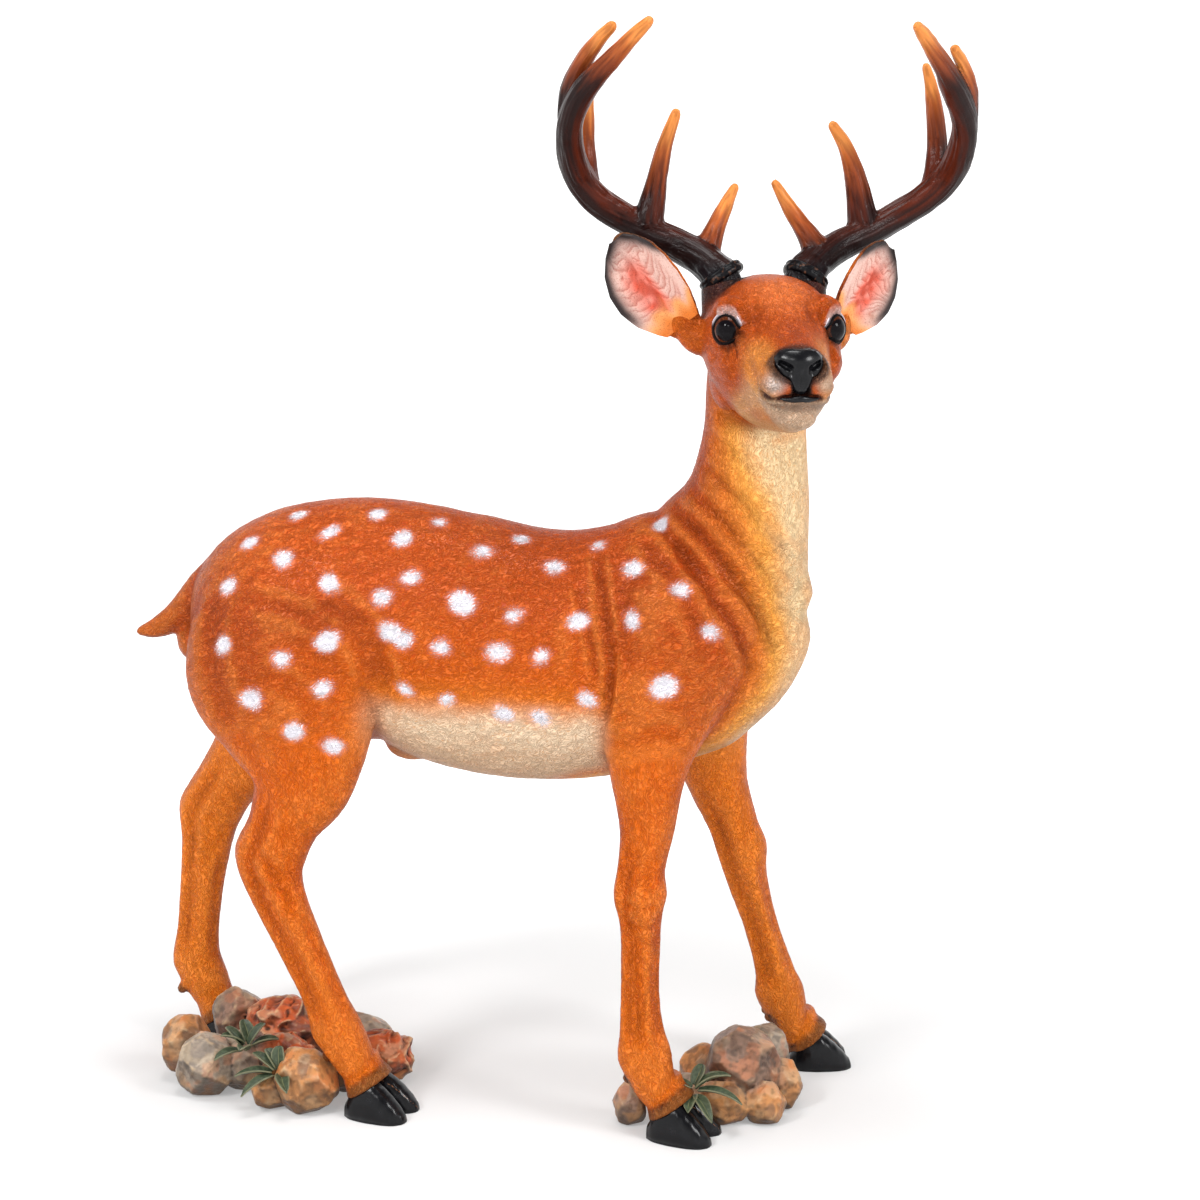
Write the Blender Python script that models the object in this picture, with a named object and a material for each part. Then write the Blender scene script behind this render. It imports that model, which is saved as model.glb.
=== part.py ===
"""Deer garden statue: a spotted stag cast in resin, standing with its head turned, on two rock bases.

Figure coordinates: +X is the way the deer stands, +Y its left, +Z up, with the soles at Z = 0.
The carving is written in millimetres of a figure 1020 mm tall and scaled by MM.
"""

import math

import bmesh
import bpy
import numpy as np
from mathutils import Matrix, Vector

# Driving sizes, in metres
STATUE_HEIGHT = 1.02
CARVED_HEIGHT = 1020
MM = STATUE_HEIGHT / CARVED_HEIGHT
GAP = 0.0004
EYE_RADIUS = 0.0146
BURR_RADIUS = 0.0235
BURR_THICKNESS = 0.011
LEAF_THICKNESS = 0.0045
FOOT_ROOM_HEIGHT = 0.14

# Fineness of the facets
BODY_VOXEL = 0.0034
BODY_FACES = 5700
ANTLER_VOXEL = 0.0026
ANTLER_FACES = 720
ROCK_VOXEL = 0.0018
ROCK_FACES = 800

UP = Vector((0, 0, 1))

# Stations of the figure, in carved millimetres: x, y, z, half front to back, half side to side
TORSO = (
    (-399, 0, 448, 26, 24),
    (-386, 0, 450, 66, 50),
    (-352, 0, 455, 98, 78),
    (-300, 0, 463, 116, 92),
    (-240, 0, 473, 118, 92),
    (-190, 0, 472, 117, 88),
    (-140, 0, 458, 123, 91),
    (-80, 0, 447, 122, 94),
    (-20, 0, 447, 119, 91),
    (40, 0, 459, 117, 86),
    (88, 0, 477, 116, 80),
    (121, 0, 490, 99, 68),
    (147, 0, 506, 75, 50),
    (165, 0, 524, 42, 30),
)
NECK = (
    (100, 0, 490, 80, 60),
    (121, 0, 548, 79, 58),
    (139, -3, 600, 59, 52),
    (146, -10, 655, 48, 47),
    (149, -22, 700, 46, 45),
    (153, -36, 740, 46, 46),
)
TAIL = (
    (-360, 0, 514, 32, 26),
    (-391, 0, 493, 25, 19),
    (-420, 0, 471, 16, 15),
    (-443, 0, 458, 11, 11),
    (-461, 0, 453, 6, 7),
)
NEAR_FORE_LEG = (
    (88, -46, 505, 72, 40),
    (74, -58, 445, 64, 40),
    (62, -64, 392, 49, 35),
    (58, -68, 350, 36, 28),
    (58, -70, 300, 26, 22),
    (52, -71, 256, 22, 20),
    (51, -72, 236, 24, 22),
    (53, -72, 205, 19, 18),
    (53, -72, 150, 18, 15),
    (54, -72, 112, 20, 16),
    (57, -72, 80, 25, 20),
    (70, -72, 54, 23, 20),
    (80, -72, 36, 22, 21),
)
FAR_FORE_LEG = (
    (88, 46, 505, 72, 40),
    (86, 60, 435, 60, 38),
    (90, 72, 372, 45, 33),
    (101, 84, 310, 31, 26),
    (116, 92, 265, 25, 22),
    (124, 96, 236, 24, 22),
    (132, 100, 200, 20, 19),
    (145, 106, 155, 17, 15),
    (157, 112, 112, 19, 16),
    (163, 118, 82, 24, 20),
    (176, 126, 56, 22, 20),
    (186, 132, 36, 20, 21),
)
NEAR_HIND_LEG = (
    (-305, -42, 485, 88, 44),
    (-295, -56, 430, 98, 44),
    (-280, -64, 372, 76, 38),
    (-278, -68, 325, 52, 31),
    (-294, -70, 287, 35, 25),
    (-308, -71, 250, 34, 22),
    (-301, -72, 215, 27, 19),
    (-280, -73, 168, 23, 17),
    (-258, -74, 120, 21, 16),
    (-245, -74, 86, 24, 20),
    (-225, -74, 58, 23, 20),
    (-214, -74, 38, 22, 21),
)
FAR_HIND_LEG = (
    (-318, 42, 485, 86, 44),
    (-322, 56, 430, 92, 44),
    (-340, 68, 372, 72, 38),
    (-372, 78, 322, 48, 31),
    (-405, 84, 285, 34, 25),
    (-427, 87, 250, 33, 22),
    (-434, 89, 215, 27, 19),
    (-441, 90, 168, 23, 17),
    (-447, 91, 120, 22, 16),
    (-450, 92, 86, 25, 20),
    (-435, 92, 58, 25, 21),
    (-424, 92, 38, 24, 22),
)

# Hooves: middle of the sole x, y, and the way the toes point, in degrees from +X
HOOVES = (
    (92, -68, -10),
    (198, 140, 16),
    (-204, -71, -8),
    (-414, 92, 0),
)
CLAW_HALF_GAP = 14
CLAW_SPLAY = 4
# One claw, heel to toe: forward, half width, height
CLAW = ((-26, 7, 20), (-16, 13, 34), (2, 15, 38), (18, 14, 26), (29, 10, 15), (34, 5, 8))
# Dewclaws hang behind each fetlock: forward from the sole's middle, sideways, height
DEWCLAW = (-50, 11, 62)
DEWCLAW_RADIUS = 8

# The head, in its own frame: forward from the eyes, up from the eyes, and to its left
EYES_MIDDLE = (176, -100, 763)
HEAD_TURN = 19
HEAD_SECTIONS = (
    (-94, 24, 8, -24),
    (-84, 44, 31, -48),
    (-56, 57, 44, -76),
    (-20, 60, 45, -86),
    (6, 55, 38, -88),
    (28, 44, 25, -87),
    (51, 38, 11, -85),
    (74, 33, 0, -83),
    (93, 31, -7, -78),
    (106, 28, -11, -66),
    (115, 20, -17, -50),
)
EYE_PLACE = (10, 43, 0)
# The muzzle sways a little to the right of the way the brow faces
MUZZLE_SWAY = -0.04
EYE_SOCKET_LIP = 0.0012
# Soft forms laid on the skull: forward, left, up, then three half sizes
HEAD_SWELLINGS = (
    (-4, 42, 14, 28, 14, 15),
    (2, 43, -27, 32, 12, 20),
    (-36, 36, -46, 32, 16, 28),
    (95, 15, -44, 18, 14, 16),
    (96, 0, -67, 16, 17, 12),
    (106, 0, -20, 13, 23, 13),
)
EAR_ROOT = (-50, 62, -10)
RIGHT_EAR_TIP = (-64, 132, 80)
LEFT_EAR_TIP = (-64, 113, 73)
# The way an ear opens: forward, outward, up
EAR_OPENING = (0.77, 0.64, 0)
EAR_HALF_WIDTH = 37
EAR_BOW = 7
EAR_THICKNESS = 7.5
# Width of the ear's blade at shares of its length
EAR_OUTLINE = ((0, 0.42), (0.12, 0.66), (0.28, 0.9), (0.45, 1), (0.62, 0.97), (0.78, 0.8), (0.9, 0.52), (1, 0.14))

# Each antler in the head's frame: outward, forward, up, radius
BURR_PLACE = (-58, 36, 39)
RIGHT_ANTLER = (
    # the beam, then the tines in the order brow, second, outer, inner
    (
        (36, -56, 30, 18),
        (40, -60, 42, 17),
        (51, -72, 56, 16),
        (71, -88, 69, 15),
        (96, -98, 81, 14),
        (121, -104, 95, 13.5),
        (146, -100, 112, 13.5),
        (164, -88, 135, 13.5),
        (173, -65, 160, 12.5),
        (174, -45, 179, 11.5),
        (168, -25, 198, 11),
        (157, -5, 214, 9.5),
        (142, 12, 231, 8),
        (130, 28, 245, 6.5),
        (120, 38, 255, 5),
    ),
    ((48, -80, 64, 13), (40, -82, 84, 9), (33, -84, 98, 7.5), (22, -84, 121, 4.5)),
    ((98, -98, 90, 14), (91, -98, 124, 9.5), (84, -92, 158, 7), (75, -88, 185, 5)),
    ((172, -76, 148, 10), (175, -52, 196, 9), (166, -28, 225, 8), (155, -8, 243, 6.5), (146, 6, 253, 5)),
    ((152, -98, 118, 11), (153, -108, 155, 8.5), (153, -104, 184, 7.5), (152, -98, 207, 5)),
)
LEFT_ANTLER = (
    (
        (34, -56, 30, 18),
        (36, -60, 42, 17),
        (51, -72, 55, 16),
        (75, -88, 68, 15),
        (105, -98, 81, 14),
        (134, -104, 96, 13.5),
        (159, -100, 112, 13.5),
        (176, -88, 132, 13.5),
        (180, -65, 155, 12.5),
        (176, -45, 178, 11.5),
        (163, -25, 198, 11),
        (146, -5, 218, 9.5),
        (131, 12, 233, 8),
        (117, 28, 246, 6.5),
        (108, 38, 253, 5),
    ),
    ((52, -78, 66, 13), (40, -82, 86, 9), (30, -84, 100, 7.5), (15, -84, 124, 4.5)),
    ((99, -98, 90, 14), (91, -98, 132, 9.5), (80, -92, 158, 7), (68, -88, 175, 5)),
    ((178, -76, 148, 10), (182, -50, 189, 8), (173, -28, 211, 7), (162, -12, 227, 6), (152, 0, 237, 5)),
    ((164, -98, 118, 11), (170, -108, 156, 9), (166, -104, 188, 8), (160, -98, 211, 6), (154, -94, 227, 4.5)),
)

# Boulders of the bases: x, y, z and three half sizes
REAR_BOULDERS = (
    (-386, -56, 29, 32, 30, 35),
    (-420, -20, 34, 27, 30, 33),
    (-352, -34, 28, 32, 30, 32),
    (-276, -76, 29, 35, 30, 36),
    (-312, -74, 20, 24, 22, 26),
    (-318, -26, 26, 40, 32, 34),
    (-334, 26, 38, 50, 36, 38),
    (-392, 44, 44, 30, 28, 38),
    (-300, 44, 36, 42, 36, 34),
    (-222, 6, 26, 34, 30, 30),
    (-258, 52, 26, 34, 32, 27),
    (-252, -14, 20, 34, 32, 26),
)
FRONT_BOULDERS = (
    (140, 6, 40, 40, 36, 47),
    (166, -20, 17, 22, 20, 24),
    (178, 20, 22, 22, 22, 27),
    (126, -28, 18, 28, 20, 24),
    (38, -46, 18, 18, 18, 25),
    (152, 64, 34, 30, 36, 37),
    (84, -24, 20, 38, 22, 26),
    (104, 30, 24, 34, 30, 30),
)
# Leaf tufts: x, y, z, how many blades, blade length, first blade's bearing and the step
REAR_TUFTS = (
    (-356, -62, 54, 6, 46, 200, 52),
    (-300, -86, 50, 6, 50, 20, 55),
)
FRONT_TUFTS = ((112, -58, 38, 6, 54, -80, 36),)


def head_frame():
    """Turns head coordinates (forward, left, up) into figure coordinates."""
    bearing = math.radians(HEAD_TURN)
    forward = Vector((math.sin(bearing), -math.cos(bearing), 0))
    left = UP.cross(forward)
    frame = Matrix((forward, left, UP)).transposed().to_4x4()
    frame.translation = Vector(EYES_MIDDLE) * MM
    return frame


def smooth_stations(stations, steps):
    """Catmull-Rom curve through the stations, with `steps` sections between each pair."""
    points = np.array(stations, float)
    padded = np.vstack([2 * points[0] - points[1], points, 2 * points[-1] - points[-2]])
    t = np.linspace(0, 1, steps, endpoint=False)[:, None]
    spans = []
    for before, start, end, after in zip(padded, padded[1:], padded[2:], padded[3:]):
        spans.append(
            0.5
            * (
                2 * start
                + (end - before) * t
                + (2 * before - 5 * start + 4 * end - after) * t**2
                + (3 * start - before - 3 * end + after) * t**3
            )
        )
    return np.vstack([*spans, points[-1:]])


def rounded_ends(rows):
    """Adds sections that shrink past each end, so that a limb ends in a dome."""
    first, last = rows[0], rows[-1]

    def dome(end, inner):
        way = end[:3] - inner[:3]
        way = way / np.linalg.norm(way)
        reach = min(end[3], end[4])
        capped = []
        for turn in (35, 65, 85):
            angle = math.radians(turn)
            centre = end[:3] + way * reach * math.sin(angle)
            capped.append(np.concatenate([centre, end[3:5] * math.cos(angle)]))
        return capped

    return np.array([*dome(first, rows[1])[::-1], *rows, *dome(last, rows[-2])])


def add_rings(bm, rings):
    """Skins closed rings of equal length, and closes both ends with a fan."""
    loops = [[bm.verts.new(p) for p in ring] for ring in rings]
    count = len(loops[0])
    for lower, upper in zip(loops, loops[1:]):
        for i in range(count):
            j = (i + 1) % count
            bm.faces.new((lower[i], lower[j], upper[j], upper[i]))
    for loop in (loops[0], loops[-1]):
        middle = bm.verts.new(sum((v.co for v in loop), Vector()) / count)
        for i in range(count):
            bm.faces.new((loop[i], loop[(i + 1) % count], middle))


def add_limb(bm, stations, frame=None, sides=20, steps=4, side_way=(0, 1, 0)):
    """A limb of oval sections carried along its stations, each square to the way the limb runs."""
    rows = rounded_ends(smooth_stations(stations, steps)) * MM
    ways = np.gradient(rows[:, :3], axis=0)
    angles = [2 * math.pi * k / sides for k in range(sides)]
    rings = []
    for row, way in zip(rows, ways):
        along = Vector(way).normalized()
        side = Vector(side_way)
        side = (side - along * side.dot(along)).normalized()
        front = along.cross(side)
        centre = Vector(row[:3])
        ring = [centre + side * row[4] * math.cos(a) + front * row[3] * math.sin(a) for a in angles]
        rings.append([frame @ p for p in ring] if frame else ring)
    add_rings(bm, rings)


def add_blob(bm, centre, halves, frame=None, detail=3):
    """An ellipsoid at a place in carved millimetres."""
    place = Matrix.Translation(Vector(centre) * MM) @ Matrix.Diagonal((*(Vector(halves) * MM), 1))
    if frame:
        place = frame @ place
    bmesh.ops.create_icosphere(bm, subdivisions=detail, radius=1, matrix=place)


def add_head(bm):
    """Skull and muzzle as sections from nape to nose, with the brows, cheeks, lips, chin and nose pad."""
    frame = head_frame()
    sides = 24
    rows = smooth_stations(HEAD_SECTIONS, 3)
    rings = []
    for forward, half_width, top, bottom in rows:
        middle, half_height = (top + bottom) / 2, (top - bottom) / 2
        ring = []
        for k in range(sides):
            angle = 2 * math.pi * k / sides
            c, s = math.cos(angle), math.sin(angle)
            side = math.copysign(abs(c) ** 0.9, c) * half_width
            # The cheeks narrow towards the jaw
            side *= 1 - (0.22 + 0.0014 * max(0.0, forward)) * max(0.0, -s)
            side += MUZZLE_SWAY * max(0.0, forward)
            height = middle + math.copysign(abs(s) ** 0.9, s) * half_height
            ring.append(frame @ (Vector((forward, side, height)) * MM))
        rings.append(ring)
    add_rings(bm, rings)
    for forward, left, up, *halves in HEAD_SWELLINGS:
        for side in {left, -left}:
            add_blob(bm, (forward, side + MUZZLE_SWAY * max(0, forward), up), halves, frame)
    for side, tip in ((-1, RIGHT_EAR_TIP), (1, LEFT_EAR_TIP)):
        add_ear(bm, frame, side, tip)
        forward, left, up = BURR_PLACE
        pedicle = ((forward + 2, side * (left - 6), up - 34, 26, 26), (forward, side * left, up, 21, 21))
        add_limb(bm, pedicle, frame)


def ear_ring(share, root, tip, side, sides=20):
    """One section of an ear: a crescent, open to the front, at a share of the way from root to tip."""
    axis = (tip - root).normalized()
    forward, outward, up = EAR_OPENING
    opening = Vector((forward, side * outward, up))
    opening = (opening - axis * opening.dot(axis)).normalized()
    across = axis.cross(opening)
    shares, widths = zip(*EAR_OUTLINE)
    half = EAR_HALF_WIDTH * float(np.interp(share, shares, widths))
    cup = half * 0.45 * (1 - 0.35 * share)
    outwards = across * (1 if across.y * side > 0 else -1)
    centre = root.lerp(tip, share) + outwards * EAR_BOW * math.sin(math.pi * share)
    ring = []
    for k in range(sides):
        angle = 2 * math.pi * k / sides
        reach = math.cos(angle)
        thick = math.copysign(abs(math.sin(angle)) ** 0.6, math.sin(angle)) * EAR_THICKNESS / 2
        ring.append(centre + across * reach * half + opening * (cup * (reach**2 - 0.6) + thick))
    return ring


def add_ear(bm, frame, side, tip):
    """A cupped leaf-shaped ear, with the funnel that carries it on the skull."""
    forward, left, up = EAR_ROOT
    root = Vector((forward, side * left, up))
    end = Vector((tip[0], side * tip[1], tip[2]))
    start = root.lerp(end, 0.08)
    shares = (0.0, 0.07, 0.15, 0.25, 0.38, 0.5, 0.62, 0.74, 0.84, 0.92, 0.97, 1.0)
    rings = [[frame @ (p * MM) for p in ear_ring(share, start, end, side)] for share in shares]
    add_rings(bm, rings)
    inner = root + Vector((4, -side * 26, 0))
    outer = root.lerp(end, 0.22) + Vector((-13, -side * 4, 0))
    add_limb(bm, ((*inner, 22, 22), (*root, 17, 18), (*outer, 8, 12)), frame)


def add_hoof(bm, x, y, bearing):
    """Two claws side by side on the ground, with the dewclaws behind the fetlock."""
    turn = Matrix.Translation(Vector((x, y, 0)) * MM) @ Matrix.Rotation(math.radians(bearing), 4, "Z")
    sides = 16
    for side in (-1, 1):
        splay = Matrix.Rotation(math.radians(side * CLAW_SPLAY), 4, "Z")
        rings = []
        for forward, half, height in smooth_stations(CLAW, 3):
            ring = []
            for k in range(sides):
                angle = 2 * math.pi * k / sides
                c, s = math.cos(angle), math.sin(angle)
                up = height * (s if s > 0 else 0) - 4 * (-s if s < 0 else 0)
                place = Vector((forward, side * CLAW_HALF_GAP + c * half, up))
                ring.append(turn @ splay @ (place * MM))
            rings.append(ring)
        add_rings(bm, rings)
        back, sideways, height = DEWCLAW
        root = (back + 14, side * sideways, height + 8, DEWCLAW_RADIUS, DEWCLAW_RADIUS)
        tip = (back, side * sideways, height - 8, DEWCLAW_RADIUS / 2, DEWCLAW_RADIUS / 2)
        add_limb(bm, (root, tip), turn, sides=12)


def material(name, colour, roughness):
    made = bpy.data.materials.new(name)
    made.use_nodes = True
    shader = made.node_tree.nodes["Principled BSDF"]
    shader.inputs["Base Color"].default_value = (*colour, 1)
    shader.inputs["Roughness"].default_value = roughness
    made.diffuse_color = (*colour, 1)
    return made


def object_from(bm, name, finish):
    """A mesh object with outward faces, smoothly shaded."""
    bmesh.ops.recalc_face_normals(bm, faces=bm.faces)
    mesh = bpy.data.meshes.new(name)
    bm.to_mesh(mesh)
    bm.free()
    obj = bpy.data.objects.new(name, mesh)
    bpy.context.scene.collection.objects.link(obj)
    mesh.materials.append(finish)
    mesh.shade_smooth()
    return obj


def settle(obj):
    """Makes the object's modifiers part of its mesh."""
    graph = bpy.context.evaluated_depsgraph_get()
    mesh = bpy.data.meshes.new_from_object(obj.evaluated_get(graph))
    obj.modifiers.clear()
    old, obj.data = obj.data, mesh
    bpy.data.meshes.remove(old)


def fuse(obj, voxel, smoothing):
    """Melts overlapping forms into one skin, and softens where they meet."""
    remesh = obj.modifiers.new("Fuse", "REMESH")
    remesh.mode = "VOXEL"
    remesh.voxel_size = voxel
    soften = obj.modifiers.new("Soften", "SMOOTH")
    soften.factor = 0.5
    soften.iterations = smoothing
    settle(obj)


def coarsen(obj, faces):
    """Brings a triangulated skin down to about this many triangles."""
    triangles = 2 * len(obj.data.polygons)
    decimate = obj.modifiers.new("Facets", "DECIMATE")
    decimate.ratio = min(1.0, faces / triangles)
    decimate.use_collapse_triangulate = True
    settle(obj)


def cut_flat(obj, point, normal):
    """Cuts away what lies beyond a plane, and closes the cut."""
    bm = bmesh.new()
    bm.from_mesh(obj.data)
    geometry = [*bm.verts, *bm.edges, *bm.faces]
    bmesh.ops.bisect_plane(bm, geom=geometry, plane_co=point, plane_no=normal, clear_outer=True)
    open_edges = [e for e in bm.edges if e.is_boundary]
    bmesh.ops.holes_fill(bm, edges=open_edges)
    bmesh.ops.triangulate(bm, faces=bm.faces)
    bm.to_mesh(obj.data)
    bm.free()


def combine(obj, other, operation):
    """A Boolean with a helper object, which is then removed."""
    boolean = obj.modifiers.new("Combine", "BOOLEAN")
    boolean.operation = operation
    boolean.solver = "EXACT"
    boolean.object = other
    settle(obj)
    bpy.data.objects.remove(other)


def keep_largest(obj):
    """Drops the crumbs that a cut leaves, keeping the largest connected piece."""
    bm = bmesh.new()
    bm.from_mesh(obj.data)
    islands, seen = [], set()
    for seed in bm.verts:
        if seed in seen:
            continue
        island, queue = [], [seed]
        seen.add(seed)
        while queue:
            vert = queue.pop()
            island.append(vert)
            for edge in vert.link_edges:
                other = edge.other_vert(vert)
                if other not in seen:
                    seen.add(other)
                    queue.append(other)
        islands.append(island)
    islands.sort(key=len)
    bmesh.ops.delete(bm, geom=[v for island in islands[:-1] for v in island], context="VERTS")
    bm.to_mesh(obj.data)
    bm.free()


def press_creases(obj, creases):
    """Carves soft grooves into the skin: each crease is a line of points, with its width and depth."""
    mesh = obj.data
    count = len(mesh.vertices)
    points = np.empty(count * 3)
    normals = np.empty(count * 3)
    mesh.vertices.foreach_get("co", points)
    mesh.vertices.foreach_get("normal", normals)
    points, normals = points.reshape(-1, 3), normals.reshape(-1, 3)
    for line, width, depth in creases:
        line = smooth_stations(np.array(line) * MM, 6)
        starts, spans = line[:-1], np.diff(line, axis=0)
        nearest = np.full(count, np.inf)
        for start, span in zip(starts, spans):
            share = np.clip((points - start) @ span / (span @ span), 0, 1)
            away = np.linalg.norm(points - start - share[:, None] * span, axis=1)
            nearest = np.minimum(nearest, away)
        push = depth * MM * np.exp(-((nearest / (width * MM)) ** 2))
        points = points - normals * push[:, None]
    mesh.vertices.foreach_set("co", points.astype(np.float32).ravel())
    mesh.update()


def mirrored(line):
    return tuple((x, -y, z) for x, y, z in line)


SIDE_CREASES = (
    # behind the shoulder blade, in front of it, the haunch, the flank and the buttock
    (((14, -96, 548), (22, -98, 490), (26, -96, 430), (18, -86, 380)), 9, 5),
    (((150, -52, 560), (160, -66, 500), (150, -74, 440)), 8, 4),
    (((-250, -98, 520), (-216, -96, 470), (-205, -92, 420), (-208, -86, 385)), 10, 5),
    (((-372, -60, 500), (-374, -70, 440), (-362, -72, 400), (-335, -80, 350)), 7, 4),
)
NECK_CREASES = (
    (((92, -46, 640), (118, -60, 604), (146, -60, 566), (162, -54, 536)), 8, 4),
    (((78, -44, 606), (106, -64, 572), (136, -70, 532), (154, -66, 492)), 8, 4),
    (((110, -44, 672), (140, -58, 640), (172, -46, 600)), 7, 3.5),
)


def deer_casting(coat):
    """The whole deer but its antlers and eyes, one casting from ears to soles."""
    bm = bmesh.new()
    add_limb(bm, TORSO, sides=40)
    for limb in (NECK, TAIL, NEAR_FORE_LEG, FAR_FORE_LEG, NEAR_HIND_LEG, FAR_HIND_LEG):
        add_limb(bm, limb, sides=28)
    add_blob(bm, (-188, 0, 362), (34, 14, 18))
    add_head(bm)
    for hoof in HOOVES:
        add_hoof(bm, *hoof)
    deer = object_from(bm, "deer", coat)
    fuse(deer, BODY_VOXEL, 12)
    creases = [c for c in SIDE_CREASES + NECK_CREASES]
    creases += [(mirrored(line), width, depth) for line, width, depth in creases]
    press_creases(deer, creases)
    coarsen(deer, BODY_FACES)
    cut_flat(deer, (0, 0, 0), (0, 0, -1))
    return deer


def eye(side, frame, glass):
    forward, left, up = EYE_PLACE
    bm = bmesh.new()
    bmesh.ops.create_icosphere(bm, subdivisions=2, radius=EYE_RADIUS)
    ball = object_from(bm, "left_eye" if side > 0 else "right_eye", glass)
    ball.matrix_world = frame @ Matrix.Translation(Vector((forward, side * left, up)) * MM)
    return ball


def burr_frame(side, frame):
    """The plane that an antler stands on: its origin is the burr's middle and its Z the antler's way out."""
    forward, left, up = BURR_PLACE
    way = Vector((-0.25, side * 0.52, 0.82)).normalized()
    stand = way.to_track_quat("Z", "Y").to_matrix().to_4x4()
    stand.translation = Vector((forward, side * left, up)) * MM
    return frame @ stand


def antler(side, frame, horn):
    """One antler: beam, four tines and the burr ring, cut flat where it meets the pedicle."""
    bm = bmesh.new()
    for branch in LEFT_ANTLER if side > 0 else RIGHT_ANTLER:
        placed = [(forward, side * outward, up, radius, radius) for outward, forward, up, radius in branch]
        add_limb(bm, placed, frame, sides=14)
    stand = burr_frame(side, frame)
    ring = Matrix.Translation((0, 0, BURR_THICKNESS / 2))
    ring = ring @ Matrix.Diagonal((BURR_RADIUS, BURR_RADIUS, BURR_THICKNESS * 0.6, 1))
    bmesh.ops.create_icosphere(bm, subdivisions=3, radius=1, matrix=stand @ ring)
    obj = object_from(bm, "left_antler" if side > 0 else "right_antler", horn)
    fuse(obj, ANTLER_VOXEL, 5)
    coarsen(obj, ANTLER_FACES)
    obj.data.transform(stand.inverted())
    cut_flat(obj, (0, 0, 0), (0, 0, -1))
    obj.matrix_world = stand
    return obj


def seat_cutter(side, frame):
    """What is taken off the pedicle so that the antler stands flat on it, a gap away."""
    depth = 3 * BURR_THICKNESS
    place = burr_frame(side, frame) @ Matrix.Translation((0, 0, depth / 2 - GAP))
    bm = bmesh.new()
    bmesh.ops.create_cone(
        bm,
        cap_ends=True,
        segments=32,
        radius1=BURR_RADIUS + 8 * GAP,
        radius2=BURR_RADIUS + 8 * GAP,
        depth=depth,
        matrix=place,
    )
    return object_from(bm, "seat_cutter", bpy.data.materials[0])


def socket_cutter(side, frame):
    forward, left, up = EYE_PLACE
    place = frame @ Matrix.Translation(Vector((forward, side * left, up)) * MM)
    bm = bmesh.new()
    bmesh.ops.create_icosphere(bm, subdivisions=2, radius=EYE_RADIUS + 2 * GAP, matrix=place)
    return object_from(bm, "socket_cutter", bpy.data.materials[0])


def add_boulder(bm, index, x, y, z, *halves):
    """A stone with flat faces: a ball whose points are pressed back to a few planes."""
    ball = bmesh.new()
    bmesh.ops.create_icosphere(ball, subdivisions=4, radius=1)
    golden = math.pi * (3 - math.sqrt(5))
    planes = []
    for k in range(13):
        height = 1 - 2 * (k + 0.5) / 13
        turn = golden * k + 1.7 * index
        flat = math.sqrt(1 - height * height)
        way = Vector((flat * math.cos(turn), flat * math.sin(turn), height))
        planes.append((way, 0.83 + 0.07 * math.sin(2.3 * k + index)))
    for vert in ball.verts:
        for way, reach in planes:
            past = vert.co.dot(way) - reach
            if past > 0:
                vert.co -= way * past
        vert.co = Vector((x + vert.co.x * halves[0], y + vert.co.y * halves[1], z + vert.co.z * halves[2])) * MM
    scratch = bpy.data.meshes.new("boulder")
    ball.to_mesh(scratch)
    ball.free()
    bm.from_mesh(scratch)
    bpy.data.meshes.remove(scratch)


def add_blade(bm, foot, bearing, length):
    """One leaf: a keeled blade that rises and bends over, pointed at its tip."""
    way = Vector((math.cos(bearing), math.sin(bearing), 0))
    across = UP.cross(way)
    half_thick = LEAF_THICKNESS / 2
    rings = []
    for share, half in ((0.0, 0.10), (0.3, 0.17), (0.6, 0.19), (0.85, 0.11), (1.0, 0.02)):
        rise = 0.62 * math.sin(2.2 * share)
        centre = foot + (way * share * 0.85 + UP * (rise - 0.12)) * length
        width = half * length
        lean = UP - way * math.cos(2.2 * share)
        lean.normalize()
        keel = lean * half_thick
        dip = lean * 0.35 * width
        rings.append([centre + across * width + dip, centre + keel, centre - across * width + dip, centre - keel])
    add_rings(bm, rings)


def foot_room(deer):
    """The deer's lower legs, grown a little: what a rock base leaves free for them."""
    room = deer.copy()
    room.data = deer.data.copy()
    bpy.context.scene.collection.objects.link(room)
    cut_flat(room, (0, 0, FOOT_ROOM_HEIGHT), UP)
    grow = room.modifiers.new("Grow", "DISPLACE")
    grow.strength = 4 * GAP
    grow.mid_level = 0
    fuse(room, 0.0025, 0)
    coarsen(room, ROCK_FACES)
    return room


def rock_base(name, boulders, tufts, stone, deer):
    """A heap of boulders fused in one casting, with leaf tufts, fitted round the deer's feet."""
    bm = bmesh.new()
    for index, boulder in enumerate(boulders):
        add_boulder(bm, index, *boulder)
    for x, y, z, blades, length, first, step in tufts:
        for k in range(blades):
            shrink = 1 - 0.12 * (k % 3)
            add_blade(bm, Vector((x, y, z)) * MM, math.radians(first + k * step), length * shrink * MM)
    base = object_from(bm, name, stone)
    fuse(base, ROCK_VOXEL, 1)
    coarsen(base, ROCK_FACES)
    cut_flat(base, (0, 0, 0), (0, 0, -1))
    combine(base, foot_room(deer), "DIFFERENCE")
    keep_largest(base)
    return base


def stand_on_middle(objects):
    """Hangs the pieces on one empty, placed so that the middle of the whole outline is the origin."""
    corners = []
    for obj in objects:
        points = np.empty(3 * len(obj.data.vertices))
        obj.data.vertices.foreach_get("co", points)
        turn = np.array(obj.matrix_world)
        corners.append(points.reshape(-1, 3) @ turn[:3, :3].T + turn[:3, 3])
    corners = np.vstack(corners)
    middle = (corners.min(axis=0) + corners.max(axis=0)) / 2
    statue = bpy.data.objects.new("statue", None)
    bpy.context.scene.collection.objects.link(statue)
    for obj in objects:
        obj.parent = statue
    statue.location = (-middle[0], -middle[1], 0)
    print("moved by", -middle)


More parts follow.
